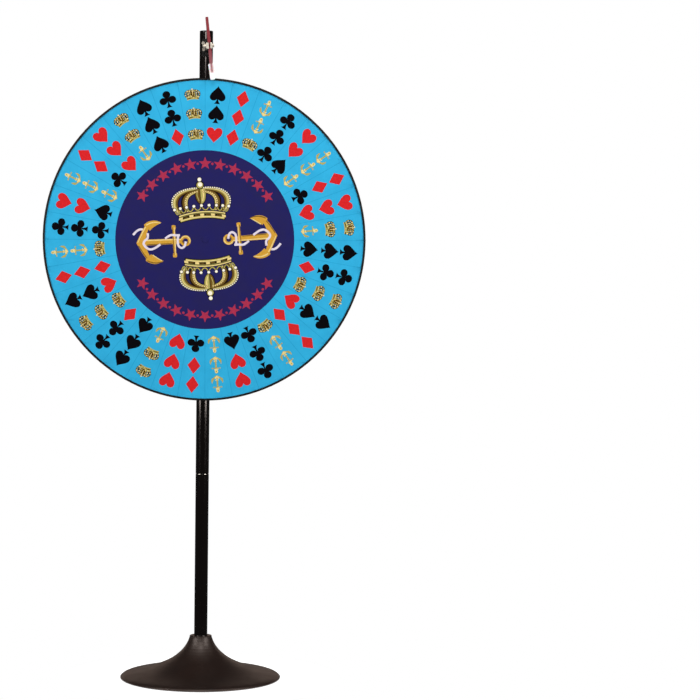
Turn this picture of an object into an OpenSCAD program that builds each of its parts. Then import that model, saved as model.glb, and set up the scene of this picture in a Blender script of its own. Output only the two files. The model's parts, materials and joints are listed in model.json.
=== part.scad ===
// Floor-standing carnival game wheel, in millimetres.
// The floor is z = 0, the pole stands on the Z axis and the wheel's printed face looks along -Y.

/* [Wheel] */
// Outside diameter over the rim band
wheel_d = 914.4; // [760:0.1:1000]
// Height of the wheel's centre above the floor
wheel_z = 1266.5; // [1150:0.5:1320]
// Thickness of the wheel's board
board_t = 15; // [13:0.5:20]
// Thickness of the printed sheets on the board
print_t = 1; // [0.6:0.1:2]
// Diameter of the dark centre sheet
centre_d = 507; // [300:1:600]
// Number of sectors, with a peg at each boundary
sectors = 36; // [24:12:48]
// Angle at which the wheel came to rest, anticlockwise from the front
rest_turn = 0.5; // [-1:0.1:1]
// Diameter of the cap over the axle
cap_d = 18; // [17:0.5:30]

/* [Rim band] */
// Radial thickness of the band round the board
band_t = 6; // [5:0.5:10]
// How far the band stands in front of the print
band_front = 2; // [0.5:0.5:4]
// How far the band stands behind the board
band_back = 1; // [0.5:0.5:4]
// Number of screws through the band into the board's edge
band_screws_n = 12; // [6:6:12]
// Diameter of a peg
peg_d = 4; // [2.5:0.5:4]
// Length of a peg in front of the band
peg_out = 15; // [8:1:20]
// Depth of a peg in the band
peg_in = 10; // [6:1:12]

/* [Hub] */
// Diameter of the axle bolt
axle_d = 12; // [10:1:12]
// Outside diameter of a bearing
bearing_d = 32; // [32:1:36]
// Width of a bearing
bearing_w = 10; // [9:0.5:12]
// Distance between the two bearings
bearing_gap = 14; // [10:1:20]
// Outside diameter of the hub's barrel
barrel_d = 46; // [44:1:56]
// Diameter of the hub's flange
flange_d = 120; // [110:1:150]
// Thickness of the hub's flange
flange_t = 6; // [5:0.5:10]
// Number of screws and of ribs on the flange
hub_screws_n = 6; // [4:1:6]
// Thickness of a rib on the hub
rib_t = 5; // [3:0.5:8]

/* [Pole] */
// Outside diameter of the pole
pole_d = 38; // [34:0.5:42]
// Wall of the pole's tubes
pole_wall = 2; // [1.5:0.1:3]
// Height of the pole's top above the flapper's clamp
pole_over = 49.5; // [40:0.5:80]
// Height of the seam between the two tubes
seam_z = 594; // [450:1:700]
// Length of the coupler inside the tubes
coupler_l = 160; // [120:1:200]
// Thickness of the saddle between the pole and the hub
saddle_t = 11; // [9:0.5:16]

/* [Base] */
// Diameter of the trumpet base
base_d = 461.8; // [400:0.1:520]
// Height of the spun shell
shell_h = 120.1; // [105:0.1:140]
// Wall of the spun shell
shell_t = 2; // [1.2:0.1:2.5]
// Diameter of the shell's neck
neck_d = 63.8; // [58:0.1:70]
// Radius at which the shell turns from dish to trumpet
shoulder_r = 140; // [120:0.5:155]
// Height of the shell at that radius
shoulder_z = 31.4; // [26:0.1:36]
// Radius of the rolled bead at the rim
bead_r = 2.2; // [1.8:0.1:2.6]
// Distance of the iron weight's edge inside the base's edge
weight_in = 58.5; // [55:0.5:90]
// Height of a rubber foot
foot_h = 2.5; // [2.3:0.1:4]
// Diameter of a rubber foot
foot_d = 30; // [20:1:36]

/* [Flapper] */
// Thickness of the red strip, as seen from the front
strip_t = 9; // [7:0.5:10]
// Depth of the red strip, front to back
strip_w = 10; // [8:0.5:12]
// Length of strip above the clamp's bolt
strip_up = 81; // [50:1:90]
// Length of strip below the clamp's bolt
strip_down = 76; // [70:1:80]
// Lean of the strip, its foot to the right
lean = 6; // [3:0.5:7]
// Sideways offset of the clamp's bolt from the pole's axis
clamp_x = 7.1; // [5:0.1:9]
// Height of the clamp's bolt above the wheel's top
clamp_rise = 89.8; // [86:0.1:94]
// Height of the clamp
clamp_h = 22; // [18:0.5:24]
// Width of the white tip at its mouth
tip_top = 16.5; // [14:0.5:20]
// Width of the white tip at its foot
tip_foot = 13; // [10:0.5:14]
// Depth of the white tip, front to back
tip_w = 14; // [14:0.5:16]
// Depth of strip inside the tip
tip_hold = 25; // [15:1:30]
// Distance that the tip reaches inside the wheel's outer edge
tip_reach = 5.6; // [4:0.1:6]

/* [Fits] */
// Gap between pieces that pass or fit in each other
fit = 0.05; // [0.02:0.01:0.1]
// Gap between pieces that only lie beside each other
ease = 0.3; // [0.2:0.05:0.5]

/* [Hidden] */
$fn = 96;
eps = 0.01;
break_edge = 0.5;
round_edge = 1;

// Colours
black_paint = "#17120f";
black_plastic = "#141414";
zinc = "#cfcfca";
steel = "#8f9296";
iron = "#3b3a39";
rubber = "#1d1d1d";
board_brown = "#2a2320";
sky_blue = "#34b1e1";
navy = "#28285f";
flapper_red = "#a8323c";
nylon_white = "#f3ecea";

// Pole
pole_r = pole_d / 2;
pole_ir = pole_r - pole_wall;
clamp_z = wheel_z + wheel_d / 2 + clamp_rise;
pole_top = clamp_z + pole_over;
tube_edge = 0.7 * pole_wall;
cap_t = 3;
cap_plug_l = 20;
cap_plug_wall = 2;
cap_round = 2;
tube_top = pole_top - cap_t;

// Base, from the floor up
base_r = base_d / 2;
plate_t = 2;
plate_top = foot_h + plate_t;
plate_r = base_r - 2 * bead_r - 2 * fit;
feet_n = 6;
feet_r = base_r - foot_d;
weight_r = base_r - weight_in;
weight_edge = 9;
weight_cone = 18;
weight_boss_r = 45;
weight_foot = 15;
weight_boss_h = 32;
pole_seat = 6;
pole_foot = plate_top + weight_boss_h - pole_seat;
neck_r = neck_d / 2;
collar_t = 4.5;
collar_round = 2.2;
collar_plug_l = 14;
base_screw_d = 12;
base_head_h = 7.5;
base_head_flats = 19;
base_washer_t = 2.5;
base_washer_d = 24;
recess_d = 28;
base_recess_h = 13.5;
base_bolt_l = 44;
plug_l = base_bolt_l + 4;
plate_screw_r = 60;
plate_screw_n = 4;
plate_screw_d = 5;
plate_screw_l = 12;

// Shell curve: a shallow dish that turns up into a trumpet
shell_slope = 0.36;
dish_pull = 0.53 * (base_r - shoulder_r);
dish_start = [-2, 7.7];
trumpet_pull = 42.8;
neck_lean = 0.29;
neck_pull = 50;
shell_steps = 14;
shoulder = [shoulder_r, shoulder_z];
shoulder_run = [-1, shell_slope] / norm([1, shell_slope]);
shell_rim = [base_r - bead_r, plate_top + bead_r];
shell_neck = [neck_r, shell_h];
dish = [shell_rim, shell_rim + dish_start, shoulder - dish_pull * shoulder_run, shoulder];
trumpet = [
    shoulder, shoulder + trumpet_pull * shoulder_run,
    shell_neck + neck_pull * [neck_lean, -1], shell_neck
];

// Axle and hub stations, as distances in front of the pole's axis
axle_r = axle_d / 2;
saddle_r = 20;
saddle_wrap = 9;
rear_saddle_t = 7;
rear_gap = 3;
recess = 1;
pilot_l = 5;
hub_web_r = 13.5;
washer_t = 2.5;
head_h = 6.6;
head_r = 10.5;
head_round = 4;
head_socket = 8;
nut_h = 10;
nut_dome_h = 2;
nut_flats = 19;
bolt_tail = 3;
saddle_front = pole_r + saddle_t;
rear_bearing_back = saddle_front + rear_gap;
rear_bearing_front = rear_bearing_back + bearing_w;
front_bearing_back = rear_bearing_front + bearing_gap;
front_bearing_front = front_bearing_back + bearing_w;
hub_back = rear_bearing_back - recess;
hub_front = front_bearing_front + recess;
board_back = hub_front - pilot_l;
board_front = board_back + board_t;
print_front = board_front + print_t;
flange_back = board_back - flange_t;
head_back = front_bearing_front + washer_t;
rear_washer_front = -(pole_r + rear_saddle_t);
nut_front = rear_washer_front - washer_t;
bolt_end = nut_front - nut_h - nut_dome_h - bolt_tail;

// Bearing races and balls
bearing_r = bearing_d / 2;
ball_circle = (axle_r + bearing_r) / 2;
ball_r = 2.9;
balls_n = 7;
ball_ease = 0.1;
race_lip = 1.8;
inner_race_r = ball_circle - race_lip;
outer_race_ir = ball_circle + race_lip;
cage_t = 1.6;
cage_w = 2 * (ball_r + ball_ease) + 1.6;

// Hub
barrel_r = barrel_d / 2;
flange_r = flange_d / 2;
hub_fillet = 4;
hub_edge = 1.5;
hub_screw_circle = (barrel_r + flange_r) / 2 + 4;
hub_screw_d = 6;
hub_head_d = 11;
hub_head_h = 3.5;
hub_head_round = 2;
hub_screw_short = 2;
rib_drop = 6;
rib_sink = 1;
rib_tip = 1.5;

// Wheel rim
wheel_r = wheel_d / 2;
band_ir = wheel_r - band_t;
board_r = band_ir - fit;
band_back_at = board_back - band_back;
band_front_at = print_front + band_front;
band_edge = 0.8;
peg_circle = (wheel_r + band_ir) / 2;
peg_dome = 0.6;
sector = 360 / sectors;
band_screw_d = 4;
band_head_d = 7.4;
band_screw_l = 25;
band_screw_at = board_back + board_t / 2;
cap_stem_d = cap_d - 3;
cap_stem_l = 1.8;
cap_dome = 1.6;
cap_edge = 1.2;

// Flapper clamp, in a frame that leans with the strip
tip_gap = 2;
flap_at = band_front_at + tip_gap + tip_w / 2;
arm_t = 3;
plate_side_t = 3;
clamp_depth = 16;
jaw_h = 17;
jaw_lip = 2.2;
jaw_lip_t = 1.5;
jaw_round = 1.2;
keeper_t = 1.5;
nut_seat = strip_t / 2 + arm_t + keeper_t;
clamp_bolt_d = 6;
clamp_flange_d = 14;
clamp_flange_t = 1.5;
clamp_head_h = 4;
clamp_head_flats = 10;
nut_boss_d = 13;
nut_boss_top_d = 10;
nut_boss_h = 8;
wing_reach = 14.5;
wing_out = 12.5;
wing_t = 2.8;
wing_tip_r = 4.5;
wing_turn = 58;
wing_root = 1;
clamp_bolt_tail = 2;
foot_w = 26;
foot_t = 5;
foot_screw_at = clamp_h / 2 + 7;
foot_tall = 2 * foot_screw_at + 14;
foot_round = 6;
foot_screw_d = 5;
foot_head_d = 8;
foot_head_h = 3;
foot_head_round = 1.5;
foot_screw_l = 12;
arm_round = 7;
flex_drop = 3;
flex_y = -(clamp_h / 2 + flex_drop);
tip_end = clamp_z - (wheel_z + wheel_r - tip_reach);
tip_end_y = -tip_end / cos(lean);
tip_mouth_y = -strip_down + tip_hold;
tip_round = 2.5;
strip_round = 3;

// Coupler
coupler_wall = 4;
coupler_screw_turn = 35;
coupler_screw_d = 6;
coupler_screw_l = 5.2;
coupler_sink = 0.3;
coupler_key = 3;
coupler_key_h = 2.5;

function unit(v) = v / norm(v);

function bezier(p, t) = pow(1 - t, 3) * p[0] + 3 * pow(1 - t, 2) * t * p[1]
    + 3 * (1 - t) * t * t * p[2] + t * t * t * p[3];

function bezier_run(p, t) = unit(pow(1 - t, 2) * (p[1] - p[0]) + 2 * (1 - t) * t * (p[2] - p[1])
    + t * t * (p[3] - p[2]));

// Point on the curve, moved to the left of its run
function bezier_side(p, t, d) = let (run = bezier_run(p, t)) bezier(p, t) + d * [-run[1], run[0]];

// Arc that rounds the corner q between its neighbours p and s
function corner(p, q, s, r, steps = 6) = let (
    a = unit(p - q),
    b = unit(s - q),
    half = acos(a * b) / 2,
    centre = q + unit(a + b) * r / sin(half),
    u = unit(q + a * r / tan(half) - centre),
    v = unit(q + b * r / tan(half) - centre),
    turn = 180 - 2 * half
) [for (i = [0:steps]) centre + r * (sin(turn * (1 - i / steps)) * u + sin(turn * i / steps) * v) / sin(turn)];

// Outline with each corner rounded by its own radius, where 0 keeps it sharp
function rounded(points, radii) = let (n = len(points)) [
    for (i = [0:n - 1])
        each radii[i] > 0
            ? corner(points[(i + n - 1) % n], points[i], points[(i + 1) % n], radii[i])
            : [points[i]]
];

// Turns a form that faces up into one that faces front, at the wheel's height
module facing() {
    translate([0, 0, wheel_z]) rotate([90, 0, 0]) children();
}

// The same, turned to where the wheel stopped
module on_wheel() {
    facing() rotate(rest_turn) children();
}

// Frame of the flapper's clamp: x across the strip, y up it and z forward
module at_clamp() {
    translate([clamp_x, -flap_at, clamp_z]) rotate([90, 0, 0]) rotate(lean) children();
}

// Copies round an axis
module around(count, first = 0) {
    for (i = [0:count - 1]) rotate(first + i * 360 / count) children();
}

// Ring along z between two stations
module ring(inner_r, outer_r, from, to) {
    translate([0, 0, from]) difference() {
        cylinder(r = outer_r, h = to - from);
        translate([0, 0, -1]) cylinder(r = inner_r, h = to - from + 2);
    }
}

// Tube of the pole, with its outer edges rounded
module pole_tube(from, to) {
    rotate_extrude() polygon(rounded(
        [[pole_ir, from], [pole_r, from], [pole_r, to], [pole_ir, to]],
        [0, tube_edge, tube_edge, 0]
    ));
}

// Countersunk screw that points along -z, its head flush with z = 0
module sunk_screw(d, head_d, length) {
    sink = (head_d - d) / 2;
    rotate_extrude() polygon([[0, 0], [head_d / 2, 0], [d / 2, -sink], [d / 2, -length], [0, -length]]);
}

// Hole for that screw, open above its head
module sunk_hole(d, head_d, length) {
    sink = (head_d - d) / 2;
    r = d / 2 + fit;
    rotate_extrude() polygon([
        [0, 1], [head_d / 2 + fit + 1, 1], [r, -sink], [r, -length - fit], [0, -length - fit]
    ]);
}

// Hexagon by the distance across its flats
module hexagon(flats, h) {
    cylinder(d = flats / cos(30), h = h, $fn = 6);
}

module base_shell() {
    outer = concat(
        [for (i = [0:shell_steps]) bezier(dish, i / shell_steps)],
        [for (i = [1:shell_steps]) bezier(trumpet, i / shell_steps)]
    );
    inner = concat(
        [for (i = [shell_steps:-1:0]) bezier_side(trumpet, i / shell_steps, shell_t)],
        [for (i = [shell_steps - 1:-1:0]) bezier_side(dish, i / shell_steps, shell_t)]
    );
    trimmed = [for (p = inner) [p[0], min(p[1], shell_h)]];
    color(black_paint) rotate_extrude($fn = 160) {
        polygon(concat(outer, trimmed));
        translate([base_r - bead_r, plate_top]) circle(r = bead_r, $fn = 24);
    }
}

module base_weight() {
    color(iron) difference() {
        rotate_extrude() polygon([
            [0, plate_top], [weight_r, plate_top], [weight_r, plate_top + weight_edge],
            [weight_boss_r + weight_foot, plate_top + weight_cone], [weight_boss_r, plate_top + weight_boss_h],
            [0, plate_top + weight_boss_h]
        ]);
        translate([0, 0, pole_foot]) cylinder(r = pole_r + fit, h = pole_seat + 1);
        cylinder(d = base_screw_d + 2 * ease, h = pole_foot + 1);
        cylinder(d = recess_d, h = plate_top + base_recess_h);
        around(plate_screw_n, 45) translate([plate_screw_r, 0, plate_top - 1])
            cylinder(d = plate_screw_d + 2 * fit, h = plate_screw_l);
    }
}

module base_plate() {
    color(steel) difference() {
        translate([0, 0, foot_h]) cylinder(r = plate_r, h = plate_t);
        cylinder(d = recess_d, h = plate_top + 1);
        at_plate_screws() sunk_hole(plate_screw_d, plate_screw_d + plate_t, plate_screw_l);
    }
}

// Places for the plate's screws, which point up from below
module at_plate_screws() {
    around(plate_screw_n, 45) translate([plate_screw_r, 0, foot_h]) rotate([180, 0, 0]) children();
}

module plate_screws() {
    color(zinc) at_plate_screws() sunk_screw(plate_screw_d, plate_screw_d + plate_t, plate_screw_l);
}

module rubber_feet() {
    color(rubber) around(feet_n, 30) translate([feet_r, 0, 0]) rotate_extrude() polygon([
        [0, 0], [foot_d / 2 - round_edge, 0], [foot_d / 2, round_edge], [foot_d / 2, foot_h], [0, foot_h]
    ]);
}

module base_bolt() {
    head_top = plate_top + base_recess_h - base_washer_t;
    color(zinc) union() {
        translate([0, 0, head_top - base_head_h]) hexagon(base_head_flats, base_head_h);
        translate([0, 0, head_top - eps]) cylinder(d = base_screw_d, h = base_bolt_l);
    }
}

module base_washer() {
    top = plate_top + base_recess_h;
    color(zinc) ring(base_screw_d / 2 + fit, base_washer_d / 2, top - base_washer_t, top);
}

module neck_collar() {
    plug_r = neck_r - shell_t - ease;
    color(black_paint) rotate_extrude() polygon(rounded(
        [
            [pole_r + fit, shell_h - collar_plug_l], [plug_r, shell_h - collar_plug_l], [plug_r, shell_h],
            [neck_r, shell_h], [neck_r, shell_h + collar_t], [pole_r + fit, shell_h + collar_t]
        ],
        [0, round_edge, 0, break_edge, collar_round, 0]
    ));
}

module lower_pole() {
    color(black_paint) difference() {
        pole_tube(pole_foot, seam_z - fit);
        at_coupler_screws() coupler_hole();
    }
}

module lower_plug() {
    color(steel) ring(base_screw_d / 2 + fit, pole_ir - fit, pole_foot, pole_foot + plug_l);
}

module coupler() {
    color(steel) difference() {
        ring(pole_ir - fit - coupler_wall, pole_ir - fit, seam_z - coupler_l / 2, seam_z + coupler_l / 2);
        at_coupler_screws() coupler_hole();
    }
}

// Places for the set screws that hold the coupler in the lower tube, in from the back;
// the upper tube slips over it
module at_coupler_screws() {
    for (turn = [-coupler_screw_turn, coupler_screw_turn])
        translate([0, 0, seam_z - coupler_l / 4]) rotate(turn) translate([0, pole_r, 0])
            rotate([-90, 0, 0]) children();
}

module coupler_hole() {
    translate([0, 0, -pole_r / 2]) cylinder(d = coupler_screw_d + 2 * fit, h = pole_r);
}

module coupler_screws() {
    color(black_plastic) at_coupler_screws() difference() {
        translate([0, 0, -coupler_sink - coupler_screw_l]) cylinder(d = coupler_screw_d, h = coupler_screw_l);
        translate([0, 0, -coupler_sink - coupler_key_h]) hexagon(coupler_key, coupler_key_h + 1);
    }
}

module upper_pole() {
    color(black_paint) difference() {
        pole_tube(seam_z + fit, tube_top);
        facing() translate([0, 0, -pole_d]) cylinder(r = axle_r + fit, h = 2 * pole_d);
        at_foot_screws() translate([0, 0, -foot_screw_l - 1])
            cylinder(d = foot_screw_d + 2 * fit, h = foot_screw_l + 1);
    }
}

module pole_cap() {
    plug_r = pole_ir - fit;
    color(black_plastic) rotate_extrude() polygon(rounded(
        [
            [0, tube_top - cap_plug_wall], [plug_r - cap_plug_wall, tube_top - cap_plug_wall],
            [plug_r - cap_plug_wall, tube_top - cap_plug_l], [plug_r, tube_top - cap_plug_l],
            [plug_r, tube_top], [pole_r, tube_top], [pole_r, pole_top], [0, pole_top]
        ],
        [0, round_edge, 0, break_edge, 0, break_edge, cap_round, 0]
    ));
}

// Block that seats on the pole's round and gives the axle a flat face
module saddle(thick) {
    facing() difference() {
        translate([0, 0, saddle_wrap]) cylinder(r = saddle_r, h = pole_r + thick - saddle_wrap);
        rotate([90, 0, 0]) cylinder(r = pole_r + fit, h = 4 * saddle_r, center = true);
        cylinder(r = axle_r + fit, h = 4 * saddle_r);
    }
}

module front_saddle() {
    color(black_paint) saddle(saddle_t);
}

module rear_saddle() {
    color(black_paint) rotate(180) saddle(rear_saddle_t);
}

module axle_bolt() {
    color(zinc) facing() difference() {
        rotate_extrude() polygon(rounded(
            [
                [0, bolt_end], [axle_r, bolt_end], [axle_r, head_back], [head_r, head_back],
                [head_r, head_back + head_h], [0, head_back + head_h]
            ],
            [0, round_edge, 0, break_edge, head_round, 0]
        ));
        translate([0, 0, head_back + head_h / 2]) hexagon(head_socket, head_h);
    }
}

module front_washer() {
    color(zinc) facing() ring(axle_r + fit, inner_race_r, front_bearing_front, head_back);
}

module rear_washer() {
    color(zinc) facing() ring(axle_r + fit, axle_d, nut_front, rear_washer_front);
}

module axle_nut() {
    color(zinc) facing() translate([0, 0, nut_front]) rotate([180, 0, 0]) difference() {
        union() {
            hexagon(nut_flats, nut_h);
            cylinder(d = nut_flats - 2, h = nut_h + nut_dome_h);
        }
        translate([0, 0, -1]) cylinder(r = axle_r + fit, h = nut_h + nut_dome_h + 2);
    }
}

module rear_spacer() {
    color(steel) facing() ring(axle_r + fit, inner_race_r, saddle_front, rear_bearing_back);
}

module bearing_spacer() {
    color(steel) facing() ring(axle_r + fit, inner_race_r, rear_bearing_front, front_bearing_back);
}

// Groove that the balls run in, about a bearing whose back is at z = 0
module ball_groove() {
    translate([0, 0, bearing_w / 2]) rotate_extrude()
        translate([ball_circle, 0]) circle(r = ball_r + ball_ease, $fn = 48);
}

module inner_race(back) {
    color(steel) facing() translate([0, 0, back]) difference() {
        ring(axle_r + fit, inner_race_r, 0, bearing_w);
        ball_groove();
    }
}

module outer_race(back) {
    color(steel) facing() translate([0, 0, back]) difference() {
        ring(outer_race_ir, bearing_r - fit, 0, bearing_w);
        ball_groove();
    }
}

// Balls of one bearing, with the cage that spaces them
module ball_set(back) {
    color(zinc) facing() translate([0, 0, back + bearing_w / 2]) {
        around(balls_n) translate([ball_circle, 0, 0]) sphere(r = ball_r, $fn = 48);
        difference() {
            ring(ball_circle - cage_t / 2, ball_circle + cage_t / 2, -cage_w / 2, cage_w / 2);
            around(balls_n) translate([ball_circle, 0, 0]) rotate([0, 90, 0])
                cylinder(r = ball_r + ball_ease, h = 4 * cage_t, center = true);
        }
    }
}

module front_inner_race() {
    inner_race(front_bearing_back);
}

module rear_inner_race() {
    inner_race(rear_bearing_back);
}

module front_outer_race() {
    outer_race(front_bearing_back);
}

module rear_outer_race() {
    outer_race(rear_bearing_back);
}

module front_balls() {
    ball_set(front_bearing_back);
}

module rear_balls() {
    ball_set(rear_bearing_back);
}

// Places for the hub's screws, on the back of its flange
module at_hub_screws() {
    on_wheel() around(hub_screws_n) translate([hub_screw_circle, 0, flange_back]) children();
}

module hub() {
    color(black_paint) difference() {
        union() {
            on_wheel() rotate_extrude() polygon(rounded(
                [
                    [bearing_r, hub_back], [barrel_r, hub_back], [barrel_r, flange_back],
                    [flange_r, flange_back], [flange_r, board_back], [barrel_r, board_back],
                    [barrel_r, hub_front], [bearing_r, hub_front], [bearing_r, front_bearing_back],
                    [hub_web_r, front_bearing_back], [hub_web_r, rear_bearing_front],
                    [bearing_r, rear_bearing_front]
                ],
                [0, hub_edge, hub_fillet, hub_edge, 0, 0, break_edge, 0, 0, 0, 0, 0]
            ));
            on_wheel() around(hub_screws_n, 180 / hub_screws_n) hub_rib();
        }
        at_hub_screws() translate([0, 0, -hub_head_h])
            cylinder(d = hub_screw_d + 2 * fit, h = flange_t + 2 * hub_head_h);
    }
}

// Web from the hub's barrel down to its flange
module hub_rib() {
    root = barrel_r - rib_sink;
    rotate([90, 0, 0]) translate([0, 0, -rib_t / 2]) linear_extrude(rib_t) polygon([
        [root, hub_back + rib_drop], [barrel_r + rib_sink, hub_back + rib_drop],
        [flange_r - rib_drop, flange_back - rib_tip], [flange_r - rib_drop, flange_back + rib_sink],
        [root, flange_back + rib_sink]
    ]);
}

module hub_screws() {
    shank = flange_t + board_t - hub_screw_short;
    color(zinc) at_hub_screws() rotate_extrude() polygon(rounded(
        [
            [0, -hub_head_h], [hub_head_d / 2, -hub_head_h], [hub_head_d / 2, 0], [hub_screw_d / 2, 0],
            [hub_screw_d / 2, shank], [0, shank]
        ],
        [0, hub_head_round, 0, 0, round_edge, 0]
    ));
}

// Places for the band's screws, which point in at the board's edge
module at_band_screws() {
    on_wheel() translate([0, 0, band_screw_at]) around(band_screws_n, sector / 2)
        translate([wheel_r, 0, 0]) rotate([0, 90, 0]) children();
}

module wheel_board() {
    color(board_brown) difference() {
        facing() ring(barrel_r + fit, board_r, board_back, board_front);
        at_hub_screws() cylinder(d = hub_screw_d + 2 * fit, h = flange_t + board_t - hub_screw_short + fit);
        at_band_screws() sunk_hole(band_screw_d, band_head_d, band_screw_l);
    }
}

module ring_print() {
    color(sky_blue) facing() ring(centre_d / 2, board_r, board_front, print_front);
}

module centre_print() {
    color(navy) facing() ring(cap_stem_d / 2 + fit, centre_d / 2 - fit, board_front, print_front);
}

module rim_band() {
    color(black_paint) difference() {
        facing() rotate_extrude($fn = 360) polygon([
            [band_ir, band_back_at], [wheel_r - band_edge, band_back_at], [wheel_r, band_back_at + band_edge],
            [wheel_r, band_front_at - band_edge], [wheel_r - band_edge, band_front_at], [band_ir, band_front_at]
        ]);
        on_wheel() around(sectors, 90) translate([peg_circle, 0, band_front_at - peg_in])
            cylinder(d = peg_d + 2 * fit, h = peg_in + 1, $fn = 24);
        at_band_screws() sunk_hole(band_screw_d, band_head_d, band_screw_l);
    }
}

module band_screws() {
    color(black_plastic) at_band_screws() sunk_screw(band_screw_d, band_head_d, band_screw_l);
}

module pegs() {
    tip = band_front_at + peg_out;
    color(black_plastic) on_wheel() around(sectors, 90) translate([peg_circle, 0, 0])
        rotate_extrude($fn = 24) polygon([
            [0, band_front_at - peg_in], [peg_d / 2, band_front_at - peg_in], [peg_d / 2, tip - peg_dome],
            [peg_d / 2 - peg_dome, tip], [0, tip]
        ]);
}

module centre_cap() {
    color(navy) on_wheel() rotate_extrude() polygon(rounded(
        [
            [0, print_front - cap_stem_l], [cap_stem_d / 2, print_front - cap_stem_l],
            [cap_stem_d / 2, print_front], [cap_d / 2, print_front], [cap_d / 2, print_front + cap_dome],
            [0, print_front + cap_dome]
        ],
        [0, break_edge, 0, 0, cap_edge, 0]
    ));
}

// Places for the screws that hold the flapper's bracket to the pole
module at_foot_screws() {
    for (side = [-1, 1])
        translate([0, -pole_r - foot_t, clamp_z + side * foot_screw_at]) rotate([90, 0, 0]) children();
}

module flapper_bracket() {
    reach = flap_at - pole_r - foot_t / 2;
    color(black_paint) difference() {
        union() {
            translate([0, -pole_r - foot_t, clamp_z]) rotate([-90, 0, 0]) linear_extrude(2 * foot_t)
                polygon(rounded(
                    [for (s = [[-1, -1], [1, -1], [1, 1], [-1, 1]]) [s[0] * foot_w, s[1] * foot_tall] / 2],
                    [foot_round, foot_round, foot_round, foot_round]
                ));
            at_clamp() translate([-strip_t / 2 - arm_t, 0, 0]) rotate([0, 90, 0]) linear_extrude(arm_t)
                polygon(rounded(
                    [
                        [reach, -clamp_h / 2], [reach, clamp_h / 2], [-clamp_depth / 2, clamp_h / 2],
                        [-clamp_depth / 2, -clamp_h / 2]
                    ],
                    [0, 0, arm_round, arm_round]
                ));
        }
        cylinder(r = pole_r + fit, h = 2 * pole_top);
        at_clamp() rotate([0, 90, 0]) cylinder(d = clamp_bolt_d + 2 * fit, h = 4 * clamp_h, center = true);
        at_foot_screws() translate([0, 0, -2 * foot_t]) cylinder(d = foot_screw_d + 2 * fit, h = 4 * foot_t);
    }
}

module bracket_screws() {
    color(black_plastic) at_foot_screws() rotate_extrude() polygon(rounded(
        [
            [0, foot_head_h], [foot_head_d / 2, foot_head_h], [foot_head_d / 2, 0], [foot_screw_d / 2, 0],
            [foot_screw_d / 2, -foot_screw_l], [0, -foot_screw_l]
        ],
        [0, foot_head_round, 0, 0, break_edge, 0]
    ));
}

// Bent jaw to the right of the strip, with a lip that laps over the strip's front edge
module jaw(inside, thick) {
    front = clamp_depth / 2 + fit;
    lip = strip_t / 2 - jaw_lip;
    difference() {
        rotate([90, 0, 0]) linear_extrude(jaw_h, center = true) polygon(rounded(
            [
                [inside, -clamp_depth / 2], [inside + thick, -clamp_depth / 2],
                [inside + thick, front + jaw_lip_t], [lip, front + jaw_lip_t], [lip, front], [inside, front]
            ],
            [0, 0, jaw_round, break_edge, 0, 0]
        ));
        rotate([0, 90, 0]) cylinder(d = clamp_bolt_d + 2 * fit, h = 4 * clamp_h, center = true);
    }
}

module clamp_plate() {
    color(zinc) at_clamp() jaw(strip_t / 2, plate_side_t);
}

module clamp_keeper() {
    color(zinc) at_clamp() mirror([1, 0, 0]) jaw(strip_t / 2 + arm_t, keeper_t);
}

module clamp_bolt() {
    seat = strip_t / 2 + plate_side_t;
    far = nut_seat + nut_boss_h + clamp_bolt_tail;
    color(zinc) at_clamp() rotate([0, 90, 0]) union() {
        translate([0, 0, seat]) cylinder(d = clamp_flange_d, h = clamp_flange_t);
        translate([0, 0, seat]) hexagon(clamp_head_flats, clamp_flange_t + clamp_head_h);
        translate([0, 0, -far]) cylinder(d = clamp_bolt_d, h = far + seat + eps);
    }
}

// Nut with two wings that flare outward, seated on the keeper's left side
module wing_nut() {
    color(zinc) at_clamp() translate([-nut_seat, 0, 0]) rotate([0, -90, 0]) difference() {
        union() {
            cylinder(d1 = nut_boss_d, d2 = nut_boss_top_d, h = nut_boss_h);
            rotate(wing_turn) for (side = [0, 180]) rotate(side) wing();
        }
        translate([0, 0, -1]) cylinder(d = clamp_bolt_d + 2 * fit, h = wing_out + 2);
    }
}

// One wing, standing in the plane of the nut's axis
module wing() {
    tip = [wing_reach - wing_tip_r, wing_out - wing_tip_r];
    root = clamp_bolt_d / 2 + wing_root;
    rotate([90, 0, 0]) translate([0, 0, -wing_t / 2]) linear_extrude(wing_t) {
        polygon([
            [root, wing_root], [nut_boss_d / 2, wing_root], tip + wing_tip_r * [cos(-30), sin(-30)],
            tip + wing_tip_r * [cos(130), sin(130)], [root, nut_boss_h - wing_root]
        ]);
        translate(tip) circle(r = wing_tip_r, $fn = 32);
    }
}

module flapper_tail() {
    foot = flex_y + strip_t / 2 + ease;
    color(flapper_red) at_clamp() difference() {
        rotate([0, 90, 0]) linear_extrude(strip_t, center = true) polygon(rounded(
            [
                [-strip_w / 2, foot], [strip_w / 2, foot], [strip_w / 2, strip_up], [-strip_w / 2, strip_up]
            ],
            [0, 0, strip_round, strip_round]
        ));
        rotate([0, 90, 0]) cylinder(d = clamp_bolt_d + 2 * fit, h = 2 * strip_t, center = true);
    }
}

module flapper_blade() {
    color(flapper_red) at_clamp() translate([0, 0, -strip_w / 2]) linear_extrude(strip_w) {
        translate([-strip_t / 2, -strip_down]) square([strip_t, strip_down + flex_y]);
        translate([0, flex_y]) circle(d = strip_t, $fn = 32);
    }
}

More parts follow.
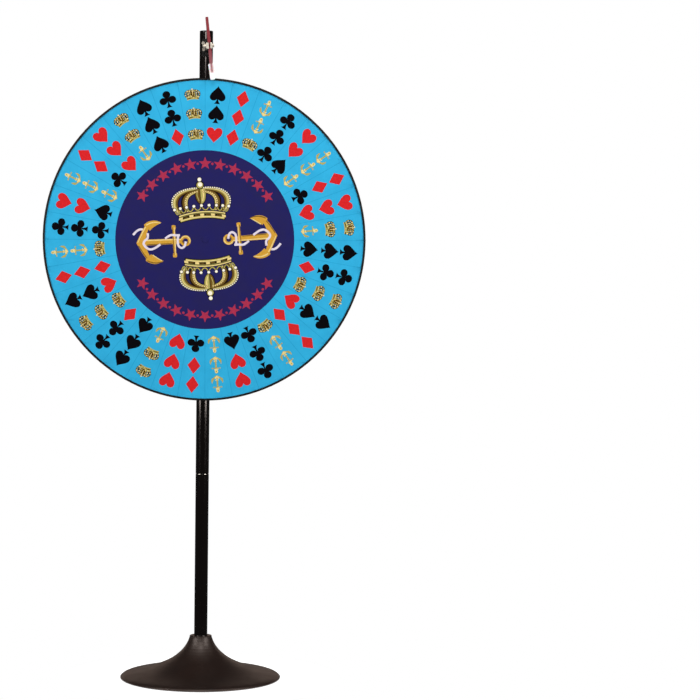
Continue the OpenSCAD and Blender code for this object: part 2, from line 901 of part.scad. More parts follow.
module flapper_tip() {
    color(nylon_white) at_clamp() difference() {
        translate([0, 0, -tip_w / 2]) linear_extrude(tip_w) polygon(rounded(
            [
                [-tip_foot / 2, tip_end_y], [tip_foot / 2, tip_end_y], [tip_top / 2, tip_mouth_y],
                [-tip_top / 2, tip_mouth_y]
            ],
            [tip_round, tip_round, tip_round, tip_round]
        ));
        translate([-strip_t / 2 - fit, -strip_down - fit, -strip_w / 2 - fit])
            cube([strip_t + 2 * fit, tip_hold + 1, strip_w + 2 * fit]);
    }
}

base_shell();
base_weight();
base_plate();
plate_screws();
rubber_feet();
base_bolt();
base_washer();
neck_collar();
lower_pole();
lower_plug();
coupler();
coupler_screws();
upper_pole();
pole_cap();
front_saddle();
rear_saddle();
axle_bolt();
front_washer();
rear_washer();
axle_nut();
rear_spacer();
bearing_spacer();
front_inner_race();
rear_inner_race();
front_outer_race();
rear_outer_race();
front_balls();
rear_balls();
hub();
hub_screws();
wheel_board();
ring_print();
centre_print();
rim_band();
band_screws();
pegs();
centre_cap();
flapper_bracket();
bracket_screws();
clamp_plate();
clamp_keeper();
clamp_bolt();
wing_nut();
flapper_tail();
flapper_blade();
flapper_tip();
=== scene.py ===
"""Looks of a floor-standing carnival game wheel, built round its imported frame.

The row frame is in metres: the pole stands on Z and the wheel's printed face looks along -Y.
Figures on the face are drawn flat, in millimetres, with x to the right and y up.
"""

import json
import logging
import math
from collections.abc import Sequence
from dataclasses import asdict, dataclass
from enum import Enum, IntEnum

import bpy
from mathutils import Matrix, Vector
from mathutils.geometry import delaunay_2d_cdt


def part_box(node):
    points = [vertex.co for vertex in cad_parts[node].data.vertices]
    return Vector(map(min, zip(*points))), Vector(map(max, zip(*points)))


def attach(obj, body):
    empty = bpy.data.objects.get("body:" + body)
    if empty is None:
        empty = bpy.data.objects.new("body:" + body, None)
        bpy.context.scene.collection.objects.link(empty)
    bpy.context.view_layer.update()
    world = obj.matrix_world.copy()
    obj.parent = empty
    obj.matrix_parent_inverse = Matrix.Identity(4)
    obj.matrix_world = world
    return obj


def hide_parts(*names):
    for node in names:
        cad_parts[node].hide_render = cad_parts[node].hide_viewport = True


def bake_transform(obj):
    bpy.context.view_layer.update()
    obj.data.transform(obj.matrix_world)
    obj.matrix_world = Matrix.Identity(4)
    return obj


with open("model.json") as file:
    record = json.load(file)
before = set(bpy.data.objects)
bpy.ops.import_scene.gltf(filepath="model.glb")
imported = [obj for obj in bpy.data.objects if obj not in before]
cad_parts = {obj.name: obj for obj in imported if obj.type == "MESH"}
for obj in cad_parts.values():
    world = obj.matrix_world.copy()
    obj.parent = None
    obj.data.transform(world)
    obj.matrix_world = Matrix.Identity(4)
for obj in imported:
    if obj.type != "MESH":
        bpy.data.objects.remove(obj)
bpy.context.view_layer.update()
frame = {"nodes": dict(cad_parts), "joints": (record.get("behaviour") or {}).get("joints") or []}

Point = tuple[float, float]
Outline = list[Point]
Colour = tuple[float, float, float, float]

MM = 0.001
# A noise keeps to the middle of its range: what lies between these values is spread to 0 and 1.
NOISE_LOW, NOISE_HIGH = 0.3, 0.7
NOISE_DETAIL = 3.0
# Patches of gloss are this much smaller than patches of colour.
GLOSS_SHARE = 0.7
# Triangulation fills only what lies inside the outlines, and joins points this close, in millimetres.
INSIDE_ONLY = 1
PRINT_MERGE, SCREW_MERGE = 1e-3, 1e-5
# A point this close to the middle line, in millimetres, lies on it.
ON_MIDDLE = 1e-6
log = logging.getLogger("game_wheel")


class Tone(IntEnum):
    """Inks of the printed figures, in the order of the ink finish's colours."""

    BLACK = 0
    RED = 1
    CRIMSON = 2
    GOLD = 3
    PALE = 4
    BRONZE = 5
    DEEP = 6
    PEARL = 7
    CORD = 8
    LINE = 9
    STRAW = 10


Layer = tuple[Tone, Outline]


class Pip(Enum):
    """Figures of the outer ring; the value is width, height and shift outward in millimetres."""

    ANCHOR = (34.0, 49.0, 0.0)
    CLUB = (47.5, 47.0, -1.0)
    CROWN = (45.5, 33.0, 1.5)
    DIAMOND = (36.5, 48.5, 1.8)
    HEART = (44.3, 43.0, -1.0)
    SPADE = (44.5, 50.5, 0.0)


# Nodes and colours


def linear(code: str) -> Colour:
    """Turns an sRGB hex colour into linear light.

    Args:
        code: colour as #rrggbb.

    Returns:
        Red, green, blue and an alpha of 1.
    """
    parts = [int(code[i:i + 2], 16) / 255 for i in (1, 3, 5)]
    red, green, blue = (c / 12.92 if c <= 0.04045 else ((c + 0.055) / 1.055) ** 2.4 for c in parts)
    return red, green, blue, 1.0


def add_node(
    tree: bpy.types.NodeTree,
    kind: str,
    inputs: dict[str | int, object] | None = None,
    **settings: object,
) -> bpy.types.Node:
    """Adds a node with its settings, and fills or links its inputs.

    Args:
        tree: tree that gets the node.
        kind: the node's type name.
        inputs: values, or sockets to link from, by input name or place.
        settings: the node's own properties.

    Returns:
        The new node.
    """
    node = tree.nodes.new(kind)
    for key, value in settings.items():
        setattr(node, key, value)
    for key, value in (inputs or {}).items():
        if isinstance(value, bpy.types.NodeSocket):
            tree.links.new(value, node.inputs[key])
        else:
            node.inputs[key].default_value = value
    return node


# Finishes


@dataclass(frozen=True)
class Finish:
    """A surface with patches of colour and gloss and a fine relief; lengths are in millimetres.

    Attributes:
        name: what the material is and how its surface was made.
        colour: main colour.
        shade: colour of its darker or duller patches.
        patch: size of those patches.
        roughness: mean roughness.
        wander: how far the roughness moves to either side.
        grain: size of the bumps.
        relief: height of the bumps.
        metallic: 1 for a bare metal.
        specular: strength of the reflection of a paint or plastic.
        stretch: how the pattern is drawn out along x, y and z.
        glow: light that the surface gives by itself.
        glint: colour that the reflection of a paint takes.
    """

    name: str
    colour: str
    shade: str
    patch: float
    roughness: float
    wander: float
    grain: float
    relief: float
    metallic: float = 0.0
    specular: float = 0.5
    stretch: tuple[float, float, float] = (1.0, 1.0, 1.0)
    glow: float = 0.0
    glint: str = "#ffffff"

    def material(self) -> bpy.types.Material:
        """Makes the material at its first use.

        Returns:
            The material.
        """
        found = bpy.data.materials.get(self.name)
        if found:
            return found
        made = bpy.data.materials.new(self.name)
        made.use_nodes = True
        tree = made.node_tree
        tree.nodes.clear()
        shader = add_node(tree, "ShaderNodeBsdfPrincipled", {
            "Metallic": self.metallic, "Specular IOR Level": self.specular,
            "Specular Tint": linear(self.glint), "Emission Strength": self.glow,
        })
        add_node(tree, "ShaderNodeOutputMaterial", {"Surface": shader.outputs["BSDF"]})
        self.paint(tree, shader)
        return made

    def noise(self, tree: bpy.types.NodeTree, size: float) -> bpy.types.NodeSocket:
        """Adds a noise whose patches have a real size.

        Args:
            tree: the material's tree.
            size: size of a patch in millimetres.

        Returns:
            The noise's value, from 0 to 1.
        """
        place = add_node(tree, "ShaderNodeTexCoord")
        drawn = add_node(tree, "ShaderNodeMapping", {
            "Vector": place.outputs["Object"], "Scale": tuple(1 / s for s in self.stretch),
        })
        noise = add_node(tree, "ShaderNodeTexNoise", {
            "Vector": drawn.outputs["Vector"], "Scale": 1 / (size * MM), "Detail": NOISE_DETAIL,
        })
        spread = add_node(tree, "ShaderNodeMapRange", {
            "Value": noise.outputs["Fac"], "From Min": NOISE_LOW, "From Max": NOISE_HIGH,
        })
        return spread.outputs["Result"]

    def tint(self, tree: bpy.types.NodeTree) -> bpy.types.NodeSocket:
        """Mixes the main colour with patches of the shade.

        Args:
            tree: the material's tree.

        Returns:
            The colour.
        """
        ramp = add_node(tree, "ShaderNodeValToRGB", {"Fac": self.noise(tree, self.patch)})
        ramp.color_ramp.elements[0].color = linear(self.colour)
        ramp.color_ramp.elements[1].color = linear(self.shade)
        return ramp.outputs["Color"]

    def paint(self, tree: bpy.types.NodeTree, shader: bpy.types.Node) -> None:
        """Links colour, gloss and relief to the shader.

        Args:
            tree: the material's tree.
            shader: the shader that they go to.
        """
        gloss = add_node(tree, "ShaderNodeMapRange", {
            "Value": self.noise(tree, GLOSS_SHARE * self.patch),
            "To Min": self.roughness - self.wander,
            "To Max": self.roughness + self.wander,
        })
        bump = add_node(tree, "ShaderNodeBump", {
            "Height": self.noise(tree, self.grain), "Distance": self.relief * MM,
        })
        tree.links.new(self.tint(tree), shader.inputs["Base Color"])
        tree.links.new(gloss.outputs["Result"], shader.inputs["Roughness"])
        tree.links.new(bump.outputs["Normal"], shader.inputs["Normal"])


@dataclass(frozen=True)
class InkFinish(Finish):
    """Inks on a sheet, chosen face by face by the number in the tone attribute.

    Attributes:
        inks: colours in the order of Tone.
        thin: least density of the film.
        thick: greatest density of the film.
    """

    inks: tuple[str, ...] = ()
    thin: float = 0.9
    thick: float = 1.08

    def tint(self, tree: bpy.types.NodeTree) -> bpy.types.NodeSocket:
        """Picks the tone's ink, a little uneven in density.

        Args:
            tree: the material's tree.

        Returns:
            The colour.
        """
        tone = add_node(tree, "ShaderNodeAttribute", attribute_name="tone")
        share = add_node(tree, "ShaderNodeMath", {
            0: tone.outputs["Fac"], 1: 1 / len(self.inks), 2: 0.5 / len(self.inks),
        }, operation="MULTIPLY_ADD")
        ramp = add_node(tree, "ShaderNodeValToRGB", {"Fac": share.outputs["Value"]})
        ramp.color_ramp.interpolation = "CONSTANT"
        stops = ramp.color_ramp.elements
        while len(stops) < len(self.inks):
            stops.new(1.0)
        for i, code in enumerate(self.inks):
            stops[i].position = i / len(self.inks)
            stops[i].color = linear(code)
        density = add_node(tree, "ShaderNodeMapRange", {
            "Value": self.noise(tree, self.patch), "To Min": self.thin, "To Max": self.thick,
        })
        inked = add_node(tree, "ShaderNodeVectorMath", {
            0: ramp.outputs["Color"], "Scale": density.outputs["Result"],
        }, operation="SCALE")
        return inked.outputs["Vector"]


@dataclass(frozen=True)
class MilkyFinish(Finish):
    """A milky plastic in which the strip that it holds shows as a soft stain; lengths are in metres.

    Attributes:
        inside: colour of the stain.
        at: origin of the strip's frame, whose y runs up the strip.
        turn: Euler turn of that frame.
        half: half width of the strip.
        foot: level of the strip's foot in its frame.
        soft: width of the stain's blurred edge, and reach of the light under the surface.
        scatter: share of the light that spreads under the surface.
    """

    inside: str = "#ffffff"
    at: tuple[float, float, float] = (0.0, 0.0, 0.0)
    turn: tuple[float, float, float] = (0.0, 0.0, 0.0)
    half: float = 0.0
    foot: float = 0.0
    soft: float = 0.003
    scatter: float = 0.25

    def tint(self, tree: bpy.types.NodeTree) -> bpy.types.NodeSocket:
        """Mixes the white with the stain where the strip is.

        Args:
            tree: the material's tree.

        Returns:
            The colour.
        """
        place = add_node(tree, "ShaderNodeTexCoord")
        local = add_node(tree, "ShaderNodeMapping", {
            "Vector": place.outputs["Object"], "Location": self.at, "Rotation": self.turn,
        }, vector_type="TEXTURE")
        axes = add_node(tree, "ShaderNodeSeparateXYZ", {"Vector": local.outputs["Vector"]})
        side = add_node(tree, "ShaderNodeMath", {0: axes.outputs["X"]}, operation="ABSOLUTE")
        beside = add_node(tree, "ShaderNodeMapRange", {
            "Value": side.outputs["Value"], "To Min": 1.0, "To Max": 0.0,
            "From Min": self.half - self.soft, "From Max": self.half + self.soft,
        }, interpolation_type="SMOOTHSTEP")
        up = add_node(tree, "ShaderNodeMapRange", {
            "Value": axes.outputs["Y"],
            "From Min": self.foot - self.soft, "From Max": self.foot + self.soft,
        }, interpolation_type="SMOOTHSTEP")
        share = add_node(tree, "ShaderNodeMath", {
            0: beside.outputs["Result"], 1: up.outputs["Result"],
        }, operation="MULTIPLY")
        ramp = add_node(tree, "ShaderNodeValToRGB", {"Fac": share.outputs["Value"]})
        ramp.color_ramp.elements[0].color = linear(self.colour)
        ramp.color_ramp.elements[1].color = linear(self.inside)
        return ramp.outputs["Color"]

    def paint(self, tree: bpy.types.NodeTree, shader: bpy.types.Node) -> None:
        """Adds the light that spreads under the surface.

        Args:
            tree: the material's tree.
            shader: the shader that it goes to.
        """
        super().paint(tree, shader)
        shader.inputs["Subsurface Weight"].default_value = self.scatter
        shader.inputs["Subsurface Scale"].default_value = self.soft


@dataclass(frozen=True)
class BandedFinish(Finish):
    """A surface whose colour changes in a stretch of heights of an upright piece; heights are in metres.

    On the lower pole the stretch is a painted highlight: a thin bright metal line on the seam's round edge,
    there to catch the lamps as the seam's glints. On the strip it is a paler colour towards its foot.

    Attributes:
        band_colour: colour within the stretch.
        level: middle of the stretch.
        reach: how far above and below the middle the colour is full.
        fade: how far the colour takes to fade out.
        metal_in_band: whether the stretch is metal.
    """

    band_colour: str = "#ffffff"
    level: float = 0.0
    reach: float = 0.0
    fade: float = 0.0
    metal_in_band: bool = False

    def band_share(self, tree: bpy.types.NodeTree) -> bpy.types.NodeSocket:
        """Finds how much of the band colour a point takes, by its height.

        Args:
            tree: the material's tree.

        Returns:
            That share, from 0 to 1.
        """
        place = add_node(tree, "ShaderNodeTexCoord")
        axes = add_node(tree, "ShaderNodeSeparateXYZ", {"Vector": place.outputs["Object"]})
        rise = add_node(tree, "ShaderNodeMath", {0: axes.outputs["Z"], 1: self.level}, operation="SUBTRACT")
        away = add_node(tree, "ShaderNodeMath", {0: rise.outputs["Value"]}, operation="ABSOLUTE")
        share = add_node(tree, "ShaderNodeMapRange", {
            "Value": away.outputs["Value"], "From Min": self.reach + self.fade, "From Max": self.reach,
        })
        return share.outputs["Result"]

    def tint(self, tree: bpy.types.NodeTree) -> bpy.types.NodeSocket:
        """Mixes the main colour with the band colour by that share.

        Args:
            tree: the material's tree.

        Returns:
            The colour.
        """
        mixed = add_node(tree, "ShaderNodeMix", {
            0: self.band_share(tree), 6: super().tint(tree), 7: linear(self.band_colour),
        }, data_type="RGBA")
        return mixed.outputs[2]

    def paint(self, tree: bpy.types.NodeTree, shader: bpy.types.Node) -> None:
        """Makes the stretch metal, when it is to be metal.

        Args:
            tree: the material's tree.
            shader: the shader that it goes to.
        """
        super().paint(tree, shader)
        if self.metal_in_band:
            tree.links.new(self.band_share(tree), shader.inputs["Metallic"])


# Powder coat baked on spun steel: warm near-black, satin, with a fine orange peel. The peel is drawn
# at 4 mm, coarser than the real millimetre, so that it breaks up the highlights in the render.
BASE_COAT = Finish(
    "powder_coated_steel_base", "#20130e", "#1a0f0b", patch=60, roughness=0.43, wander=0.04,
    grain=4, relief=0.03, specular=0.65, glint="#ffeee4")
# Powder coat on drawn tube: close to black, with narrow highlights along the tube.
POLE_COAT = Finish(
    "powder_coated_tube", "#050303", "#070404", patch=80, roughness=0.085, wander=0.015,
    grain=3, relief=0.0005, specular=0.95, stretch=(1, 1, 6), glint="#fff0e8")
# The same coat on the cast bracket: duller, so its flat sides don't mirror the lights.
BRACKET_COAT = Finish(
    "powder_coated_bracket", "#060404", "#090606", patch=25, roughness=0.3, wander=0.05,
    grain=3, relief=0.004, specular=0.3)
# Satin black enamel on the wheel's metal, band, hub and saddles: soft, broad highlights.
ENAMEL = Finish(
    "black_enamelled_steel", "#0c0c0b", "#141312", patch=25, roughness=0.42, wander=0.08,
    grain=2.5, relief=0.02, specular=0.3)
# Black oxide on screws and pegs: a dark metal with a faint brown bloom.
BLACK_OXIDE = Finish(
    "black_oxide_steel", "#1c1a19", "#2a2522", patch=3, roughness=0.42, wander=0.1,
    grain=0.6, relief=0.01, metallic=0.6)
# Bright zinc plate: pale and slightly warm, with dull fingerprints.
ZINC = Finish(
    "bright_zinc_plate", "#ece2d2", "#d4cabb", patch=6, roughness=0.42, wander=0.08,
    grain=0.8, relief=0.01, metallic=0.6)
# Turned steel: greyer than the plate, with fine tool marks across the axle.
TURNED_STEEL = Finish(
    "turned_steel", "#8f9296", "#6f7276", patch=4, roughness=0.32, wander=0.08,
    grain=0.7, relief=0.01, metallic=1.0, stretch=(4, 1, 4))
# Sand-cast iron: dull, dark and rough.
CAST_IRON = Finish(
    "sand_cast_iron", "#3b3a39", "#2c2a28", patch=12, roughness=0.75, wander=0.08,
    grain=1.5, relief=0.15, metallic=0.4)
# Moulded rubber: matte, with a dusting of grey.
RUBBER = Finish(
    "moulded_rubber", "#1b1b1b", "#292827", patch=9, roughness=0.8, wander=0.06,
    grain=0.8, relief=0.03, specular=0.3)
# Injection-moulded ABS: an even black with a fine spark texture.
ABS_BLACK = Finish(
    "moulded_black_abs", "#0e0e0e", "#141414", patch=10, roughness=0.5, wander=0.05,
    grain=0.5, relief=0.02, specular=0.35)
# Fibreboard under rolled black paint: the roller leaves a stipple and duller passes.
BOARD_PAINT = Finish(
    "rolled_paint_on_fibreboard", "#191614", "#221e1b", patch=45, roughness=0.62, wander=0.08,
    grain=3, relief=0.06, specular=0.3)
# Printed styrene sheet, light blue: an even ink with faint clouds, satin.
SKY_PRINT = Finish(
    "printed_styrene_sky_blue", "#2da9d6", "#29a1ce", patch=35, roughness=0.5, wander=0.06,
    grain=2, relief=0.004, specular=0.15)
# Printed styrene sheet, navy: the same even ink, deep enough to look flat.
NAVY_PRINT = Finish(
    "printed_styrene_navy", "#1d1b57", "#201d51", patch=30, roughness=0.5, wander=0.06,
    grain=2, relief=0.004, specular=0.1)
# Screen inks on the sheet, in the order of Tone: flat colours with a slightly uneven film.
INK = InkFinish(
    "screen_printed_ink", "#000000", "#000000", patch=5, roughness=0.5, wander=0.06,
    grain=1.5, relief=0.004, specular=0.02,
    inks=("#09070b", "#cc2427", "#a22f4a", "#c89637", "#e2cb86", "#6c5122", "#1a110b", "#f0e8d6",
          "#d8cdd8", "#2799c6", "#aca058"))


# Flat outlines, in millimetres


def bezier(a: Point, b: Point, c: Point, d: Point, steps: int = 8) -> Outline:
    """Draws a cubic curve.

    Args:
        a: its start.
        b: the point that it leaves towards.
        c: the point that it arrives from.
        d: its end.
        steps: number of steps.

    Returns:
        The points, both ends included.
    """
    run = []
    for i in range(steps + 1):
        t = i / steps
        w = ((1 - t) ** 3, 3 * (1 - t) ** 2 * t, 3 * (1 - t) * t * t, t ** 3)
        run.append((sum(k * p[0] for k, p in zip(w, (a, b, c, d))),
                    sum(k * p[1] for k, p in zip(w, (a, b, c, d)))))
    return run


def through(points: Sequence[Point], steps: int = 5) -> Outline:
    """Draws a smooth run through points.

    Args:
        points: points that it passes.
        steps: steps between two of them.

    Returns:
        The points of the run.
    """
    ends = [points[0], *points, points[-1]]
    run: Outline = [points[0]]
    # At each point the curve runs along the line between its neighbours, and is pulled by a sixth of it.
    for before, a, b, after in zip(ends, ends[1:], ends[2:], ends[3:]):
        pull_a = (a[0] + (b[0] - before[0]) / 6, a[1] + (b[1] - before[1]) / 6)
        pull_b = (b[0] - (after[0] - a[0]) / 6, b[1] - (after[1] - a[1]) / 6)
        run += bezier(a, pull_a, pull_b, b, steps)[1:]
    return run


def mirrored(right: Outline) -> Outline:
    """Returns a closed outline from its right half, drawn from the top down or the foot up."""
    left = [(-x, y) for x, y in reversed(right)]
    return right + [p for p in left if abs(p[0]) > ON_MIDDLE]


def arc(x: float, y: float, radius: float, start: float, sweep: float, steps: int) -> Outline:
    """Returns an arc about a point, from a start angle in degrees, both ends included."""
    turns = [math.radians(start + sweep * i / steps) for i in range(steps + 1)]
    return [(x + radius * math.cos(a), y + radius * math.sin(a)) for a in turns]


def disc(x: float, y: float, radius: float, sides: int = 14) -> Outline:
    """Returns a round outline."""
    return arc(x, y, radius, 0, 360, sides)[:-1]


def star(radius: float, waist: float = 0.42) -> Outline:
    """Returns a five-pointed star that stands on two points; the waist is a share of the radius."""
    return [(r * math.sin(math.pi * i / 5), r * math.cos(math.pi * i / 5))
            for i in range(10) for r in (radius * (waist if i % 2 else 1.0),)]


def ribbon(path: Outline, start: float, end: float) -> Outline:
    """Returns a band along a path.

    Args:
        path: its middle line.
        start: width at the first point.
        end: width at the last point.

    Returns:
        The band's outline.
    """
    left: Outline = []
    right: Outline = []
    last = len(path) - 1
    for i, (x, y) in enumerate(path):
        ax, ay = path[max(i - 1, 0)]
        bx, by = path[min(i + 1, last)]
        long = math.hypot(bx - ax, by - ay)
        nx, ny = (ay - by) / long, (bx - ax) / long
        half = (start + (end - start) * i / last) / 2
        left.append((x + nx * half, y + ny * half))
        right.append((x - nx * half, y - ny * half))
    return left + right[::-1]


def along(path: Outline, spacing: float) -> Outline:
    """Finds points at an even spacing along a path.

    Args:
        path: points of the path.
        spacing: distance between two of the points found.

    Returns:
        The points.
    """
    found, walked = [], spacing / 2
    for (ax, ay), (bx, by) in zip(path, path[1:]):
        long = math.hypot(bx - ax, by - ay)
        while walked <= long:
            found.append((ax + (bx - ax) * walked / long, ay + (by - ay) * walked / long))
            walked += spacing
        walked -= long
    return found


def moved(layers: Sequence[Layer], scale: float, turn: float, to: Point) -> list[Layer]:
    """Scales, turns and moves layers.

    Args:
        layers: toned outlines.
        scale: scale about the origin.
        turn: turn about the origin in degrees, anticlockwise.
        to: where the origin goes.

    Returns:
        The layers in their place.
    """
    c, s = scale * math.cos(math.radians(turn)), scale * math.sin(math.radians(turn))
    return [(tone, [(c * x - s * y + to[0], s * x + c * y + to[1]) for x, y in outline])
            for tone, outline in layers]


def fitted(layers: Sequence[Layer], width: float, height: float) -> list[Layer]:
    """Stretches layers to a width and height, and centres them.

    Args:
        layers: toned outlines.
        width: full width.
        height: full height.

    Returns:
        The layers at that size.
    """
    xs = [x for _, outline in layers for x, _ in outline]
    ys = [y for _, outline in layers for _, y in outline]
    wide, tall = max(xs) - min(xs), max(ys) - min(ys)
    mid_x, mid_y = (max(xs) + min(xs)) / 2, (max(ys) + min(ys)) / 2
    return [(tone, [((x - mid_x) * width / wide, (y - mid_y) * height / tall) for x, y in outline])
            for tone, outline in layers]


def across(outer: Outline, inner: Outline, share: float) -> Outline:
    """Returns the line that lies a share of the way from one edge to another."""
    return [(a + (c - a) * share, b + (d - b) * share) for (a, b), (c, d) in zip(outer, inner)]


def between(outer: Outline, inner: Outline, start: float, end: float) -> Outline:
    """Returns the strip between two edges, from one share of the way across to another."""
    return across(outer, inner, start) + across(outer, inner, end)[::-1]


@dataclass(frozen=True)
class Suits:
    """The four card suits, as common playing cards have them, tops up.

    Attributes:
        foot: half width of the foot of a spade or club.
        waist: half width of its stem.
    """

    foot: float = 8.5
    waist: float = 1.6

    def stem(self, top: float, bottom: float) -> Outline:
        """Returns a stem that flares to its foot."""
        return mirrored(bezier((self.waist, top), (self.waist, bottom + 11), (3.2, bottom + 3.5),
                               (self.foot, bottom), 5))

    def heart(self) -> list[Layer]:
        """Draws a heart.

        Returns:
            Its one layer.
        """
        side = (bezier((0, -21.5), (4, -14), (21.5, -3), (21.5, 9))
                + bezier((21.5, 9), (21.5, 17.5), (16.5, 21.5), (11.3, 21.5), 5)[1:]
                + bezier((11.3, 21.5), (6, 21.5), (1.6, 18), (0, 12.5), 5)[1:])
        return [(Tone.RED, mirrored(side))]

    def diamond(self) -> list[Layer]:
        """Returns a diamond."""
        return [(Tone.RED, mirrored([(0, -22), (16, 0), (0, 22)]))]

    def spade(self) -> list[Layer]:
        """Draws a spade.

        Returns:
            Its layers.
        """
        side = (bezier((0, 25), (3, 17), (21, 5), (21, -6))
                + bezier((21, -6), (21, -13), (15.5, -16.5), (10.5, -16.5), 5)[1:]
                + bezier((10.5, -16.5), (6, -16.5), (2.5, -13), (0, -9), 4)[1:])
        return [(Tone.BLACK, mirrored(side)), (Tone.BLACK, self.stem(-6, -25))]

    def club(self) -> list[Layer]:
        """Draws a club.

        Returns:
            Its layers.
        """
        lobes = [disc(x, y, 10.8, 20) for x, y in ((0, 14.2), (-12.2, -3.5), (12.2, -3.5))]
        middle = [(-6, -4), (6, -4), (4, 9), (-4, 9)]
        return [(Tone.BLACK, o) for o in (*lobes, middle, self.stem(-2, -25))]


@dataclass(frozen=True)
class Crown:
    """An arched crown with pearls, about its middle, tops up.

    Attributes:
        bow: how far the ends of the head band hang below its middle.
        half: half width of the band between those ends.
        edge: width of the dark edge round each gold form.
        pearl: radius of a pearl on the arches.
        pearl_step: distance between two of those pearls.
        points: half widths at which the band carries a point with a pearl.
    """

    bow: float = 8.5
    half: float = 64.0
    edge: float = 4.4
    pearl: float = 2.2
    pearl_step: float = 6.4
    points: tuple[float, ...] = (-78.0, -61.0, -43.0, -22.0, 0.0, 22.0, 43.0, 61.0, 78.0)

    def level(self, x: float, middle: float) -> float:
        """Returns the height at x of a line that bows with the band."""
        return middle - self.bow * (x / self.half) ** 2

    def bowed(self, middle: float, half: float, steps: int = 6) -> Outline:
        """Returns a line across the head band that bows with it."""
        return [(half * k / steps, self.level(half * k / steps, middle)) for k in range(-steps, steps + 1)]

    def band(self, top: float, bottom: float, top_half: float, bottom_half: float) -> Outline:
        """Returns a strip of the head band."""
        return self.bowed(bottom, bottom_half) + self.bowed(top, top_half)[::-1]

    def slab(self, x: float, middle: float, half_x: float, half_y: float) -> Outline:
        """Returns a short upright slab on the head band."""
        corners = ((-half_x, -half_y), (half_x, -half_y), (half_x, half_y), (-half_x, half_y))
        return [(x + u, self.level(x + u, middle) + v) for u, v in corners]

    def arches(self) -> list[tuple[Outline, Outline]]:
        """Draws the edges of the arches.

        Returns:
            Outer and inner edge of the two outer arches and then of the two inner ones.
        """
        pairs = [
            (bezier((68, -38), (98, -12), (94, 38), (8, 36), 14),
             bezier((56, -36), (78, -12), (74, 27), (8, 27), 14)),
            (bezier((47, -33), (64, -8), (60, 29), (6, 31), 12),
             bezier((34, -32), (45, -8), (42, 19), (6, 21), 12)),
        ]
        return [([(s * x, y) for x, y in outer], [(s * x, y) for x, y in inner])
                for outer, inner in pairs for s in (-1, 1)]

    def body(self) -> list[Layer]:
        """Draws the arches and the middle arch.

        Returns:
            Their layers, from the back to the front.
        """
        drawn: list[Layer] = []
        arches = self.arches()
        for outer, inner in arches:
            drawn += [(Tone.DEEP, ribbon(path, self.edge, self.edge)) for path in (outer, inner)]
        outer_light = ((Tone.STRAW, 0, 1), (Tone.BRONZE, 0.7, 1), (Tone.PALE, 0.34, 0.48))
        inner_light = ((Tone.DEEP, 0, 0.3), (Tone.BRONZE, 0.14, 0.46), (Tone.STRAW, 0.46, 1),
                       (Tone.PALE, 0.8, 0.92))
        for i, (outer, inner) in enumerate(arches):
            drawn += [(tone, between(outer, inner, start, end))
                      for tone, start, end in (outer_light if i < 2 else inner_light)]
        side = bezier((0, -11), (11, -10), (17, 8), (14, 32), 7)
        return drawn + [
            (Tone.DEEP, mirrored([(1.15 * x, y - 2) for x, y in side])),
            (Tone.STRAW, side + [(0, 32)]),
            (Tone.BRONZE, [(-x, y) for x, y in side] + [(0, 32)]),
            (Tone.PALE, ribbon([(7, 30), (8.5, 14), (4.5, -4)], 4.2, 2.6)),
            (Tone.DEEP, ribbon([(-1, 28), (-1.5, 8), (-1, -8)], 2.0, 1.4)),
            (Tone.STRAW, ribbon([(-9, 29), (-10.5, 14), (-6, -2)], 3.2, 2.0)),
        ]

    def beads(self) -> list[Layer]:
        """Draws the pearls that follow the arches.

        Returns:
            Their layers, from the back to the front.
        """
        drawn: list[Layer] = []
        for i, (outer, inner) in enumerate(self.arches()):
            share, ground, bead = (0.06, Tone.DEEP, Tone.PEARL) if i < 2 else (0.62, Tone.BRONZE, Tone.PALE)
            for x, y in along(across(outer, inner, share), self.pearl_step):
                drawn += [(ground, disc(x, y, self.pearl + 1.0, 8)), (bead, disc(x, y, self.pearl, 8))]
        return drawn

    def rim(self) -> list[Layer]:
        """Draws the head band with its points.

        Returns:
            Its layers, from the back to the front.
        """
        drawn: list[Layer] = []
        tops = [(x, self.level(0.75 * x, -16)) for x in self.points]
        for (ax, ay), (bx, by) in zip(tops, tops[1:]):
            low = self.level((ax + bx) / 2, -33)
            sag = bezier((ax, ay), (ax + 5, low), (bx - 5, low), (bx, by), 6)
            drawn += [(Tone.DEEP, ribbon(sag, 5.2, 5.2)), (Tone.STRAW, ribbon(sag, 2.8, 2.8))]
        drawn += [
            (Tone.DEEP, self.band(-30.5, -54, 69, 65)),
            (Tone.STRAW, self.band(-32, -51.5, 67, 62.5)),
            (Tone.PALE, self.band(-32.4, -35, 66.5, 66)),
            (Tone.DEEP, self.band(-36.2, -38, 66, 65.5)),
            (Tone.BRONZE, self.band(-39, -45.5, 65, 64)),
        ]
        drawn += [(Tone.PALE, self.slab(x, -42.2, 5.5, 3.0)) for x in range(-62, 63, 31)]
        for x in (-46.5, -15.5, 15.5, 46.5):
            drawn += [(Tone.DEEP, self.slab(x, -42.2, 9.0, 3.4)),
                      (Tone.BRONZE, self.slab(x + 1, -43.0, 6.0, 1.2))]
        drawn.append((Tone.PALE, self.band(-46.5, -49.4, 63.5, 63)))
        for x, y in tops:
            drawn += [(Tone.DEEP, disc(x, y, 5.8, 10)), (Tone.PEARL, disc(x, y, 4.2, 10))]
        return drawn

    def large(self) -> list[Layer]:
        """Draws the large crown with its pearls and shading.

        Returns:
            Its layers, from the back to the front.
        """
        finial: list[Layer] = [
            (Tone.DEEP, disc(0, 43, 12.5)),
            (Tone.STRAW, disc(0, 43, 9.5)),
            (Tone.PEARL, disc(0.8, 44.5, 6.4)),
            (Tone.DEEP, disc(0, 59, 7.6)),
            (Tone.PEARL, disc(0, 59, 5.6)),
        ]
        return self.body() + self.beads() + self.rim() + finial

